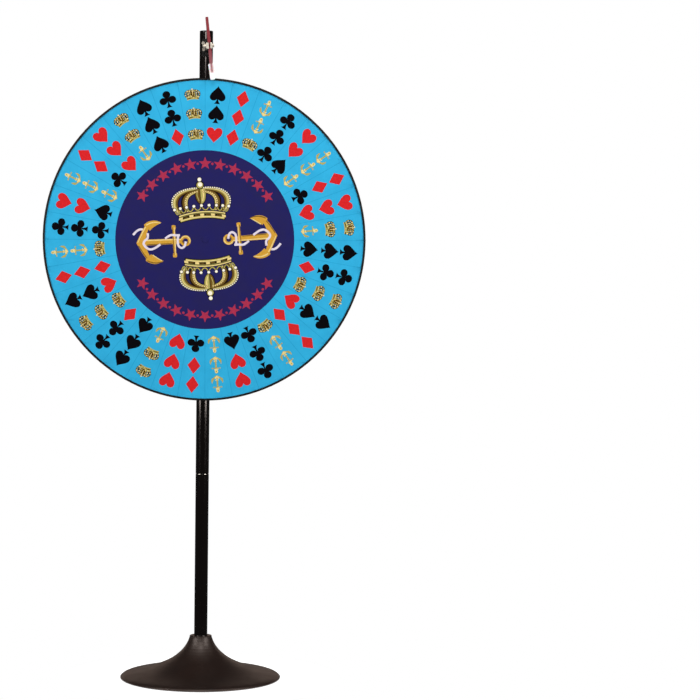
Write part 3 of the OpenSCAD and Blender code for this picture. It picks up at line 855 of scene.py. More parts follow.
    def small(self) -> list[Layer]:
        """Draws the small crown, in coarse light and dark flecks.

        Returns:
            Its layers, from the back to the front.
        """
        arches = self.arches()
        flecks = (Tone.STRAW, Tone.BRONZE, Tone.PALE, Tone.DEEP, Tone.STRAW, Tone.BRONZE, Tone.PALE)
        drawn: list[Layer] = [(Tone.DEEP, ribbon(outer, 9, 9)) for outer, _ in arches]
        drawn += [(Tone.DEEP, arches[i][1] + arches[i + 2][0][::-1]) for i in range(2)]
        drawn.append((Tone.BRONZE, arches[2][1] + arches[3][1][::-1]))
        for x, y in ((10, 10), (13, -8), (24, -16), (27, 2)):
            drawn += [(Tone.DEEP if x < 20 else Tone.STRAW, disc(side * x, y, 6.5, 8)) for side in (-1, 1)]
        drawn += [(Tone.STRAW, self.band(-30, -57, 68, 63)), (Tone.DEEP, self.band(-38, -46, 66, 64))]
        for i, (outer, inner) in enumerate(arches):
            for k, (x, y) in enumerate(along(across(outer, inner, 0.4), 11.5)):
                drawn.append((flecks[(k + 2 * i) % len(flecks)], disc(x, y, 7.2, 8)))
        drawn.append((Tone.BRONZE, ribbon([(0, 34), (0, -20)], 15, 10)))
        drawn.append((Tone.PALE, ribbon([(3, 34), (3, -16)], 7, 5)))
        for k, x in enumerate(range(-60, 61, 15)):
            drawn.append((flecks[2 * k % len(flecks)], disc(x, self.level(x, -26), 7.0, 8)))
            drawn.append((flecks[(2 * k + 1) % len(flecks)], disc(x + 7, self.level(x + 7, -43), 5.4, 8)))
        return drawn + [(Tone.PALE, disc(0, 44, 8, 10))]


@dataclass(frozen=True)
class Anchor:
    """A ship's anchor with a rope wound round it, ring up.

    Attributes:
        ring: middle radius of the ring.
        ring_w: width of the ring's iron.
        stock: half length of the cross bar.
        rope: width of the rope.
    """

    ring: float = 11.4
    ring_w: float = 8.4
    stock: float = 40.0
    rope: float = 6.4

    def iron(self, tone: Tone) -> list[Layer]:
        """Draws the anchor itself.

        Args:
            tone: its tone.

        Returns:
            Its layers.
        """
        arm = (bezier((0, -75), (13, -68), (34, -58), (46, -49), 6)
               + bezier((52, -50.5), (66, -34), (65, -14), (55, 0), 7)
               + bezier((55, 0), (49, -15), (43, -26), (33.5, -34.5), 5)[1:]
               + bezier((38, -38.5), (29, -43), (18, -46), (7, -49), 4))
        shank = mirrored([(0, 57), (6.2, 56), (7.8, 25), (8.7, -52), (0, -52)])
        bar = mirrored([(0, 38.4), (self.stock - 6, 37.6), (self.stock - 6, 30.2), (0, 29.4)])
        knob = mirrored([(0, 40), (5.5, 39.5), (6.8, 34), (5.5, 28.5), (0, 28)])
        ends = [[(s * self.stock + x, y) for x, y in knob] for s in (-1, 1)]
        loop = [ribbon(arc(0, 66, self.ring, start, 182, 12), self.ring_w, self.ring_w)
                for start in (-91, 89)]
        return [(tone, o) for o in (mirrored(arm), shank, bar, *ends, *loop)]

    def light(self) -> list[Layer]:
        """Draws the lit and the shaded edges of the iron.

        Returns:
            Their layers.
        """
        lit = [
            ribbon(bezier((-45, -46), (-34, -54), (-14, -64), (-1, -71), 6), 3.2, 2.4),
            ribbon([(-5.8, -46), (-5.2, 26), (-4, 54)], 2.8, 2.0),
            ribbon([(-self.stock, 36), (self.stock, 36)], 2.0, 2.0),
            ribbon(arc(0, 66, self.ring + 1.6, 60, 180, 10), 2.4, 2.4),
            ribbon(bezier((-54, -3), (-59, -18), (-57, -32), (-50, -44), 6), 2.0, 3.4),
            ribbon(bezier((54, -4), (47, -16), (42, -23), (36, -30), 6), 2.0, 3.0),
        ]
        dull = [
            ribbon(bezier((8, -69), (20, -62), (36, -54), (45, -46), 6), 2.4, 2.4),
            ribbon([(6.6, -44), (5.8, 26)], 2.6, 2.0),
            ribbon([(-self.stock, 31.2), (self.stock, 31.2)], 1.8, 1.8),
            ribbon(bezier((57, -2), (62, -18), (60, -34), (52, -46), 6), 2.4, 3.0),
            ribbon(arc(0, 66, self.ring - 2.4, -100, 170, 10), 2.0, 2.0),
        ]
        return [(Tone.PALE, o) for o in lit] + [(Tone.BRONZE, o) for o in dull]

    def cord(self, points: Sequence[Point]) -> list[Layer]:
        """Returns a stretch of rope through points."""
        return [(Tone.CORD, ribbon(through(points), self.rope, self.rope))]

    def small(self) -> list[Layer]:
        """Draws the small anchor: heavy at ring and crown, and light in between.

        Returns:
            Its layers, from the back to the front.
        """
        return self.iron(Tone.STRAW) + [
            (Tone.PALE, disc(0, 62, 17)),
            (Tone.STRAW, disc(0, 64, 8)),
            (Tone.PALE, ribbon([(-22, 44), (0, 40), (20, 50)], 9, 9)),
            (Tone.PALE, mirrored([(0, -72), (24, -56), (20, -44), (0, -46)])),
            (Tone.PALE, ribbon([(-14, -30), (2, -36), (18, -28)], 8, 8)),
        ]

    def roped(self) -> list[Layer]:
        """Draws the large anchor with rope, light and shade.

        Returns:
            Its layers, from the back to the front.
        """
        behind = self.cord([(-24, -83), (-35, -71), (-39, -59), (-34, -48)])
        under = self.cord([(-27, -41), (-13, -42), (-5, -51), (4, -54), (15, -46), (20, -36), (17, -23),
                           (7, -6)])
        over = self.cord([(-9, 8), (-18, 24), (-17, 38), (-16.5, 51)])
        round_ring = self.cord([(-20, 47), (-3, 44), (12.5, 45), (20, 54), (15, 63), (2, 67)])
        return behind + self.iron(Tone.GOLD) + self.light() + under + over + round_ring


# Meshes


def add_object(name: str, mesh: bpy.types.Mesh) -> bpy.types.Object:
    """Puts a mesh in the scene under a name.

    Args:
        name: the name.
        mesh: the mesh.

    Returns:
        The object that holds it.
    """
    mesh.name = name
    made = bpy.data.objects.new(name, mesh)
    bpy.context.scene.collection.objects.link(made)
    return made


def inlay(name: str, layers: Sequence[Layer], back: float, front: float) -> bpy.types.Mesh:
    """Makes one thin closed sheet from layers of outlines, each face with its front layer's tone.

    Args:
        name: the mesh's name.
        layers: toned outlines, from the back to the front.
        back: level of the sheet's back, in millimetres.
        front: level of its front.

    Returns:
        The mesh, in metres, facing up.
    """
    points: list[Vector] = []
    loops: list[list[int]] = []
    for _, outline in layers:
        area = sum(ax * by - bx * ay for (ax, ay), (bx, by) in zip(outline, outline[1:] + outline[:1]))
        first = len(points)
        points += [Vector(p) for p in (outline if area > 0 else outline[::-1])]
        loops.append(list(range(first, len(points))))
    spots, _, faces, _, _, origins = delaunay_2d_cdt(points, [], loops, INSIDE_ONLY, PRINT_MERGE)
    kept = [(list(face), max(origin)) for face, origin in zip(faces, origins) if origin]
    used = sorted({i for face, _ in kept for i in face})
    place = {i: k for k, i in enumerate(used)}
    top = [(spots[i].x * MM, spots[i].y * MM, front * MM) for i in used]
    bottom = [(x, y, back * MM) for x, y, _ in top]
    count = len(used)
    made: list[list[int]] = []
    tones: list[int] = []
    sides: dict[tuple[int, int], int] = {}
    for face, layer in kept:
        ring = [place[i] for i in face]
        tone = int(layers[layer][0])
        made += [ring, [i + count for i in reversed(ring)]]
        tones += [tone, tone]
        for a, b in zip(ring, ring[1:] + ring[:1]):
            sides[a, b] = tone
    for (a, b), tone in sides.items():
        if (b, a) not in sides:
            made.append([b, a, a + count, b + count])
            tones.append(tone)
    mesh = bpy.data.meshes.new(name)
    mesh.from_pydata(top + bottom, [], made)
    mesh.attributes.new("tone", "INT", "FACE").data.foreach_set("value", tones)
    return mesh


def loft(name: str, rings: Sequence[Sequence[Vector]]) -> bpy.types.Mesh:
    """Makes a closed skin over rings of points, with a flat cap at either end.

    Args:
        name: the mesh's name.
        rings: rings with the same number of points, anticlockwise as seen from the last ring.

    Returns:
        The smooth mesh.
    """
    n = len(rings[0])
    faces = [list(range(n))[::-1]]
    for k in range(len(rings) - 1):
        faces += [[k * n + i, k * n + (i + 1) % n, (k + 1) * n + (i + 1) % n, (k + 1) * n + i]
                  for i in range(n)]
    faces.append([(len(rings) - 1) * n + i for i in range(n)])
    mesh = bpy.data.meshes.new(name)
    mesh.from_pydata([p for ring in rings for p in ring], [], faces)
    mesh.polygons.foreach_set("use_smooth", [True] * len(faces))
    return mesh


def cross_screw(name: str, profile: Sequence[Point], sides: int = 24) -> bpy.types.Mesh:
    """Makes a screw with a cross recess, pointing along -z.

    Args:
        name: the mesh's name.
        profile: radius and height in millimetres, from the flat top's edge to the point's edge.
        sides: sides of the turned form.

    Returns:
        The mesh, in metres.
    """
    edge, level = profile[0]
    arm, slot, sink, narrowing = 0.72 * edge, 0.17 * edge, 0.55 * edge, 0.8
    cross: Outline = []
    for k in range(4):
        c, s = round(math.cos(k * math.pi / 2)), round(math.sin(k * math.pi / 2))
        cross += [(c * x - s * y, s * x + c * y) for x, y in ((arm, -slot), (arm, slot), (slot, slot))]
    rim = disc(0, 0, edge, sides)
    points = [Vector(p) for p in rim + cross]
    loops = [list(range(sides)), list(range(sides, sides + len(cross)))]
    spots, _, faces, _, _, origins = delaunay_2d_cdt(points, [], loops, INSIDE_ONLY, SCREW_MERGE)
    verts = [(p.x, p.y, level) for p in spots]
    floor = {}
    for i in range(sides, sides + len(cross)):
        floor[i] = len(verts)
        verts.append((narrowing * spots[i].x, narrowing * spots[i].y, level - sink))
    made = [[floor[i] for i in face] if 1 in origin else list(face) for face, origin in zip(faces, origins)]
    walls = loops[1]
    made += [[b, a, floor[a], floor[b]] for a, b in zip(walls, walls[1:] + walls[:1])]
    above = loops[0]
    for radius, height in profile[1:]:
        below = list(range(len(verts), len(verts) + sides))
        verts += [(radius * x / edge, radius * y / edge, height) for x, y in rim]
        made += [[above[i], below[i], below[(i + 1) % sides], above[(i + 1) % sides]] for i in range(sides)]
        above = below
    made.append(above[::-1])
    mesh = bpy.data.meshes.new(name)
    mesh.from_pydata([(x * MM, y * MM, z * MM) for x, y, z in verts], [], made)
    return mesh


# Node trees for what repeats


def new_tree(name: str, sockets: Sequence[tuple[str, str]]) -> bpy.types.NodeTree:
    """Starts a geometry tree with named inputs and one geometry output.

    Args:
        name: the tree's name.
        sockets: name and type of each input.

    Returns:
        The tree.
    """
    tree = bpy.data.node_groups.new(name, "GeometryNodeTree")
    for label, kind in sockets:
        tree.interface.new_socket(label, in_out="INPUT", socket_type=kind)
    tree.interface.new_socket("Geometry", in_out="OUTPUT", socket_type="NodeSocketGeometry")
    return tree


def end_tree(tree: bpy.types.NodeTree, copies: bpy.types.NodeSocket, material: bpy.types.NodeSocket) -> None:
    """Ends a tree: real meshes instead of instances, with their material.

    Args:
        tree: the tree.
        copies: socket with the instances.
        material: socket with their material.
    """
    real = add_node(tree, "GeometryNodeRealizeInstances", {"Geometry": copies})
    dressed = add_node(tree, "GeometryNodeSetMaterial", {
        "Geometry": real.outputs["Geometry"], "Material": material,
    })
    add_node(tree, "NodeGroupOutput", {"Geometry": dressed.outputs["Geometry"]})


def ring_tree() -> bpy.types.NodeTree:
    """Makes, at its first use, a tree that sets copies of an item round a circle, tops outward.

    Returns:
        The tree.
    """
    name = "copies_round_a_circle"
    if name in bpy.data.node_groups:
        return bpy.data.node_groups[name]
    tree = new_tree(name, [
        ("Item", "NodeSocketObject"), ("Count", "NodeSocketInt"), ("Radius", "NodeSocketFloat"),
        ("First", "NodeSocketFloat"), ("Step", "NodeSocketFloat"), ("Material", "NodeSocketMaterial"),
    ])
    given = add_node(tree, "NodeGroupInput")
    index = add_node(tree, "GeometryNodeInputIndex")
    angle = add_node(tree, "ShaderNodeMath", {
        0: index.outputs["Index"], 1: given.outputs["Step"], 2: given.outputs["First"],
    }, operation="MULTIPLY_ADD")
    turn = add_node(tree, "ShaderNodeCombineXYZ", {"Z": angle.outputs["Value"]})
    out = add_node(tree, "ShaderNodeCombineXYZ", {"Y": given.outputs["Radius"]})
    spot = add_node(tree, "ShaderNodeVectorRotate", {
        "Vector": out.outputs["Vector"], "Rotation": turn.outputs["Vector"],
    }, rotation_type="EULER_XYZ")
    points = add_node(tree, "GeometryNodePoints", {
        "Count": given.outputs["Count"], "Position": spot.outputs["Vector"],
    })
    item = add_node(tree, "GeometryNodeObjectInfo", {"Object": given.outputs["Item"], "As Instance": True})
    rotation = add_node(tree, "FunctionNodeEulerToRotation", {"Euler": turn.outputs["Vector"]})
    copies = add_node(tree, "GeometryNodeInstanceOnPoints", {
        "Points": points.outputs["Points"],
        "Instance": item.outputs["Geometry"],
        "Rotation": rotation.outputs["Rotation"],
    })
    end_tree(tree, copies.outputs["Instances"], given.outputs["Material"])
    return tree


def pick_tree() -> bpy.types.NodeTree:
    """Makes a tree that sets a chosen item on each point, by the point's kind and turn.

    Returns:
        The tree.
    """
    tree = new_tree("picked_items_on_points", [
        ("Points", "NodeSocketGeometry"), ("Items", "NodeSocketCollection"),
        ("Material", "NodeSocketMaterial"),
    ])
    given = add_node(tree, "NodeGroupInput")
    items = add_node(tree, "GeometryNodeCollectionInfo", {
        "Collection": given.outputs["Items"], "Separate Children": True, "Reset Children": True,
    })
    kind = add_node(tree, "GeometryNodeInputNamedAttribute", {"Name": "kind"}, data_type="INT")
    turn = add_node(tree, "GeometryNodeInputNamedAttribute", {"Name": "turn"}, data_type="FLOAT")
    euler = add_node(tree, "ShaderNodeCombineXYZ", {"Z": turn.outputs["Attribute"]})
    rotation = add_node(tree, "FunctionNodeEulerToRotation", {"Euler": euler.outputs["Vector"]})
    copies = add_node(tree, "GeometryNodeInstanceOnPoints", {
        "Points": given.outputs["Points"],
        "Instance": items.outputs["Instances"],
        "Pick Instance": True,
        "Instance Index": kind.outputs["Attribute"],
        "Rotation": rotation.outputs["Rotation"],
    })
    end_tree(tree, copies.outputs["Instances"], given.outputs["Material"])
    return tree


def grow(
    name: str,
    tree: bpy.types.NodeTree,
    inputs: dict[str, object],
    place: Matrix,
    carrier: bpy.types.Mesh | None = None,
) -> bpy.types.Object:
    """Runs a tree and keeps its result as a plain mesh in its place.

    Args:
        name: the piece's name.
        tree: tree to run.
        inputs: values by input name.
        place: where the result goes in the row frame.
        carrier: mesh that the tree starts from.

    Returns:
        The piece.
    """
    maker = add_object(name + "_maker", carrier or bpy.data.meshes.new(name))
    modifier = maker.modifiers.new("nodes", "NODES")
    modifier.node_group = tree
    for socket in tree.interface.items_tree:
        if socket.in_out == "INPUT" and socket.name in inputs:
            modifier[socket.identifier] = inputs[socket.name]
    evaluated = maker.evaluated_get(bpy.context.evaluated_depsgraph_get())
    made = bpy.data.meshes.new_from_object(evaluated)
    bpy.data.objects.remove(maker)
    made.transform(place)
    return add_object(name, made)


def ring_of(
    name: str, item: bpy.types.Mesh, count: int, radius: float, first: float, step: float,
    finish: Finish, place: Matrix,
) -> bpy.types.Object:
    """Sets copies of an item round a circle.

    Args:
        name: the piece's name.
        item: mesh of one copy, its top along y.
        count: number of copies.
        radius: radius in millimetres.
        first: angle of the first copy, anticlockwise from the top, in degrees.
        step: angle between copies.
        finish: their finish.
        place: frame of the circle.

    Returns:
        The piece.
    """
    source = add_object(name + "_item", item)
    made = grow(name, ring_tree(), {
        "Item": source, "Count": count, "Radius": radius * MM, "First": math.radians(first),
        "Step": math.radians(step), "Material": finish.material(),
    }, place)
    bpy.data.objects.remove(source)
    return made


def dress(finish: Finish, *nodes: str) -> None:
    """Gives CAD nodes a finish in place of their plain colour.

    Args:
        finish: the finish.
        nodes: names of the nodes.
    """
    for name in nodes:
        mesh = frame["nodes"][name].data
        mesh.materials.clear()
        mesh.materials.append(finish.material())
        log.info("dressed %s in %s", name, finish.name)


def keep(piece: bpy.types.Object, body: str, slot: str | None = None, *stands_for: str) -> None:
    """Hands a finished piece to the frame.

    Args:
        piece: the piece.
        body: body that carries it.
        slot: not used.
        stands_for: CAD nodes that it replaces.
    """
    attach(piece, body)
    if stands_for:
        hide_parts(*stands_for)
    log.info("built %s on %s with %d faces", piece.name, body, len(piece.data.polygons))


def joint_at(name: str) -> Vector:
    """Returns where a joint's axis passes, in the row frame."""
    return Vector(next(j["pos_m"] for j in frame["joints"] if j["name"] == name))


# Sub-assemblies


@dataclass
class Stand:
    """Trumpet base and pole, with what joins them; lengths are in millimetres.

    Attributes:
        plate_screw_circle: radius of the circle of screws under the base.
        plate_screws: number of those screws.
        seam_glint_depth: depth below the seam of the painted highlight, a thin bright metal line on the lower
            tube's round edge that catches the lamps as the seam's glints.
        seam_glint_half: half width of that line.
        seam_glint_fade: width over which it fades into the paint.
    """

    plate_screw_circle: float = 60.0
    plate_screws: int = 4
    seam_glint_depth: float = 1.15
    seam_glint_half: float = 0.25
    seam_glint_fade: float = 0.1

    def dress(self) -> None:
        """Paints the stand."""
        dress(BASE_COAT, "base_shell", "neck_collar")
        dress(POLE_COAT, "upper_pole")
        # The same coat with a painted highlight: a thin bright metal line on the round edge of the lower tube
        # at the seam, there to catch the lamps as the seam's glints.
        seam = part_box("lower_pole")[1].z
        seam_glint_coat = BandedFinish(**asdict(POLE_COAT) | {
            "name": "powder_coated_tube_rubbed_at_the_seam", "band_colour": "#b8b2a8", "metal_in_band": True,
            "level": seam - self.seam_glint_depth * MM, "reach": self.seam_glint_half * MM,
            "fade": self.seam_glint_fade * MM,
        })
        dress(seam_glint_coat, "lower_pole")
        dress(ABS_BLACK, "pole_cap")
        dress(BLACK_OXIDE, "coupler_screws")
        dress(CAST_IRON, "base_weight")
        dress(TURNED_STEEL, "lower_plug", "coupler", "base_plate")
        dress(ZINC, "base_bolt", "base_washer")
        dress(RUBBER, "rubber_feet")

    def build(self) -> None:
        """Makes the screws under the base."""
        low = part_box("plate_screws")[0]
        item = cross_screw("plate_screw", [(3.5, 0), (2.5, -1.0), (2.5, -12)])
        place = Matrix.Translation((0, 0, low.z)) @ Matrix.Rotation(math.pi, 4, "X")
        step = 360 / self.plate_screws
        made = ring_of("base_plate_screws", item, self.plate_screws, self.plate_screw_circle, step / 2, step,
                       ZINC, place)
        keep(made, "stand", "zinc", "plate_screws")


@dataclass
class Hub:
    """Axle, bearings and hub behind the board; lengths are in millimetres.

    Attributes:
        wheel: the wheel that the hub carries.
        screws: number of screws through the flange.
        screw_circle: radius of their circle.
        flange_back: distance of the flange's back behind the printed face.
    """

    wheel: "Wheel"
    screws: int = 6
    screw_circle: float = 45.5
    flange_back: float = 22.0

    def dress(self) -> None:
        """Gives the turning parts their metals."""
        dress(ENAMEL, "hub", "front_saddle", "rear_saddle")
        dress(ZINC, "axle_bolt", "front_washer", "rear_washer", "axle_nut")
        dress(TURNED_STEEL, "rear_spacer", "bearing_spacer", "front_inner_race", "rear_inner_race",
              "front_outer_race", "rear_outer_race")
        dress(ZINC, "front_balls", "rear_balls")

    def build(self) -> None:
        """Makes the screws on the flange's back."""
        item = cross_screw("hub_screw", [(3.6, 3.5), (4.8, 3.0), (5.5, 1.6), (5.5, 0), (3, 0), (3, -19)])
        item.transform(Matrix.Rotation(math.pi, 4, "X"))
        place = self.wheel.frame() @ Matrix.Translation((0, 0, -self.flange_back * MM))
        step = 360 / self.screws
        made = ring_of("hub_flange_screws", item, self.screws, self.screw_circle, step / 2, step, ZINC, place)
        keep(made, "wheel", "zinc", "hub_screws")


@dataclass
class Wheel:
    """Board, rim band and pegs, and the two printed sheets; lengths are in millimetres.

    Attributes:
        rest_turn: angle at which the wheel came to rest, in degrees.
        sectors: sectors of the printed ring.
        band_screws: screws through the rim band.
        band_screw_back: distance of their row behind the printed face.
    """

    rest_turn: float = 0.5
    sectors: int = 36
    band_screws: int = 12
    band_screw_back: float = 8.5

    def dress(self) -> None:
        """Paints the board and its sheets."""
        dress(BOARD_PAINT, "wheel_board")
        dress(ENAMEL, "rim_band")
        dress(BLACK_OXIDE, "pegs")
        dress(SKY_PRINT, "ring_print")
        dress(NAVY_PRINT, "centre_print", "centre_cap")

    def build(self) -> None:
        """Makes the screws round the rim band."""
        low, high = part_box("rim_band")
        item = cross_screw("band_screw", [(3.7, 0), (2, -1.7), (2, -25)])
        item.transform(Matrix.Rotation(-math.pi / 2, 4, "X"))
        place = self.frame() @ Matrix.Translation((0, 0, -self.band_screw_back * MM))
        made = ring_of("rim_band_screws", item, self.band_screws, (high.x - low.x) / 2 / MM,
                       180 / self.sectors, 360 / self.band_screws, BLACK_OXIDE, place)
        keep(made, "wheel", "black_oxide", "band_screws")

    def frame(self) -> Matrix:
        """Finds where the printed face lies.

        Returns:
            The face's frame: x right, y up and z out of the face.
        """
        low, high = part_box("ring_print")
        return (Matrix.Translation((0, low.y, (low.z + high.z) / 2))
                @ Matrix.Rotation(math.pi / 2, 4, "X")
                @ Matrix.Rotation(math.radians(self.rest_turn), 4, "Z"))


@dataclass
class Printing:
    """Figures printed on the two sheets; lengths are in millimetres.

    Attributes:
        wheel: the wheel that carries them.
        rows: radii of the outer, middle and inner row of figures.
        line: width of the line between two sectors.
        line_gap: distance of its ends from the edges of the ring.
        line_lift: level of its back above the sheet's face.
        film: level of a figure's front, the thickness of the ink film.
        lift: level of a figure's back.
        star_circle: radius of the ring of stars.
        star: radius of a star.
        stars: stars in an arc.
        star_step: angle between two stars, in degrees.
        dot: radius of a dot between two stars.
        centre_scale: scale of the large figures.
    """

    wheel: Wheel
    rows: tuple[float, float, float] = (410.8, 356.7, 297.8)
    line: float = 1.6
    line_gap: float = 0.5
    line_lift: float = 0.01
    film: float = 0.12
    lift: float = 0.02
    star_circle: float = 216.0
    star: float = 19.0
    stars: int = 11
    star_step: float = 11.0
    dot: float = 3.6
    centre_scale: float = 0.985

    def figures(self) -> dict[Pip, list[Layer]]:
        """Draws the ring's figures at their printed size.

        Returns:
            The layers of each figure.
        """
        suits = Suits()
        drawn = {
            Pip.ANCHOR: Anchor().small(),
            Pip.CLUB: suits.club(),
            Pip.CROWN: Crown().small(),
            Pip.DIAMOND: suits.diamond(),
            Pip.HEART: suits.heart(),
            Pip.SPADE: suits.spade(),
        }
        return {kind: fitted(layers, *kind.value[:2]) for kind, layers in drawn.items()}

    def order(self) -> list[tuple[Pip, Pip, Pip]]:
        """Lists the sectors clockwise from the top.

        Returns:
            Outer, middle and inner figure of each sector.
        """
        a, c, k, d, h, s = Pip.ANCHOR, Pip.CLUB, Pip.CROWN, Pip.DIAMOND, Pip.HEART, Pip.SPADE
        run = [(s, s, h), (d, d, d), (a, a, k), (c, c, c), (h, h, s), (a, a, a),
               (d, d, c), (h, h, h), (k, k, a), (s, s, s), (c, c, d), (k, k, k)]
        return run * (self.wheel.sectors // len(run))

    def pips(self) -> None:
        """Prints the figures of the outer ring."""
        items = bpy.data.collections.new("figures")
        kinds = list(Pip)
        sources = []
        for number, (kind, layers) in enumerate(self.figures().items()):
            mesh = inlay(kind.name.lower(), layers, self.lift, self.film)
            source = bpy.data.objects.new(f"figure_{number}", mesh)
            items.objects.link(source)
            sources.append(source)
        spots, picked, turns = [], [], []
        step = 360 / self.wheel.sectors
        for i, sector in enumerate(self.order()):
            turn = -math.radians((i + 0.5) * step)
            for row, kind in zip(self.rows, sector):
                radius = row + kind.value[2]
                spots.append((-radius * MM * math.sin(turn), radius * MM * math.cos(turn), 0.0))
                picked.append(kinds.index(kind))
                turns.append(turn)
        carrier = bpy.data.meshes.new("figure_spots")
        carrier.from_pydata(spots, [], [])
        carrier.attributes.new("kind", "INT", "POINT").data.foreach_set("value", picked)
        carrier.attributes.new("turn", "FLOAT", "POINT").data.foreach_set("value", turns)
        made = grow("ring_figures", pick_tree(), {"Items": items, "Material": INK.material()},
                    self.wheel.frame(), carrier)
        for source in sources:
            bpy.data.objects.remove(source)
        bpy.data.collections.remove(items)
        keep(made, "wheel")

    def lines(self) -> None:
        """Prints the lines between the sectors."""
        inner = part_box("centre_print")[1].x / MM + self.line_gap
        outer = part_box("ring_print")[1].x / MM - self.line_gap
        half = self.line / 2
        outline = [(-half, inner), (half, inner), (half, outer), (-half, outer)]
        item = inlay("sector_line", [(Tone.LINE, outline)], self.line_lift, self.film / 2)
        made = ring_of("sector_lines", item, self.wheel.sectors, 0, 0, 360 / self.wheel.sectors, INK,
                       self.wheel.frame())
        keep(made, "wheel")

    def stars_and_dots(self) -> None:
        """Prints the two arcs of red stars on the dark sheet, with dots between the stars."""
        reach = (self.stars - 1) / 2 * self.star_step
        for name, figure, count, first in (
            ("stars", star(self.star), self.stars, -reach),
            ("dots", disc(0, 0, self.dot), self.stars - 1, -reach + self.star_step / 2),
        ):
            for side, turn in (("upper", 0), ("lower", 180)):
                item = inlay(f"{side}_{name}_item", [(Tone.CRIMSON, figure)], self.lift, self.film)
                made = ring_of(f"{side}_{name}", item, count, self.star_circle, first + turn, self.star_step,
                               INK, self.wheel.frame())
                keep(made, "wheel")

    def centre(self) -> None:
        """Prints the two crowns and the two anchors of the dark sheet."""
        crown, anchor = Crown().large(), Anchor().roped()
        for name, figure, turn, to in (
            ("upper_crown", crown, 4.5, (-11.5, 112.5)),
            ("lower_crown", crown, 184.5, (11.8, -107.6)),
            ("left_anchor", anchor, -87, (-120.3, -6.4)),
            ("right_anchor", anchor, 95, (131.6, 6.9)),
        ):
            mesh = inlay(name, moved(figure, self.centre_scale, turn, to), self.lift, self.film)
            mesh.transform(self.wheel.frame())
            mesh.materials.append(INK.material())
            keep(add_object(name, mesh), "wheel")

    def build(self) -> None:
        """Prints everything."""
        self.lines()
        self.pips()
        self.stars_and_dots()
        self.centre()


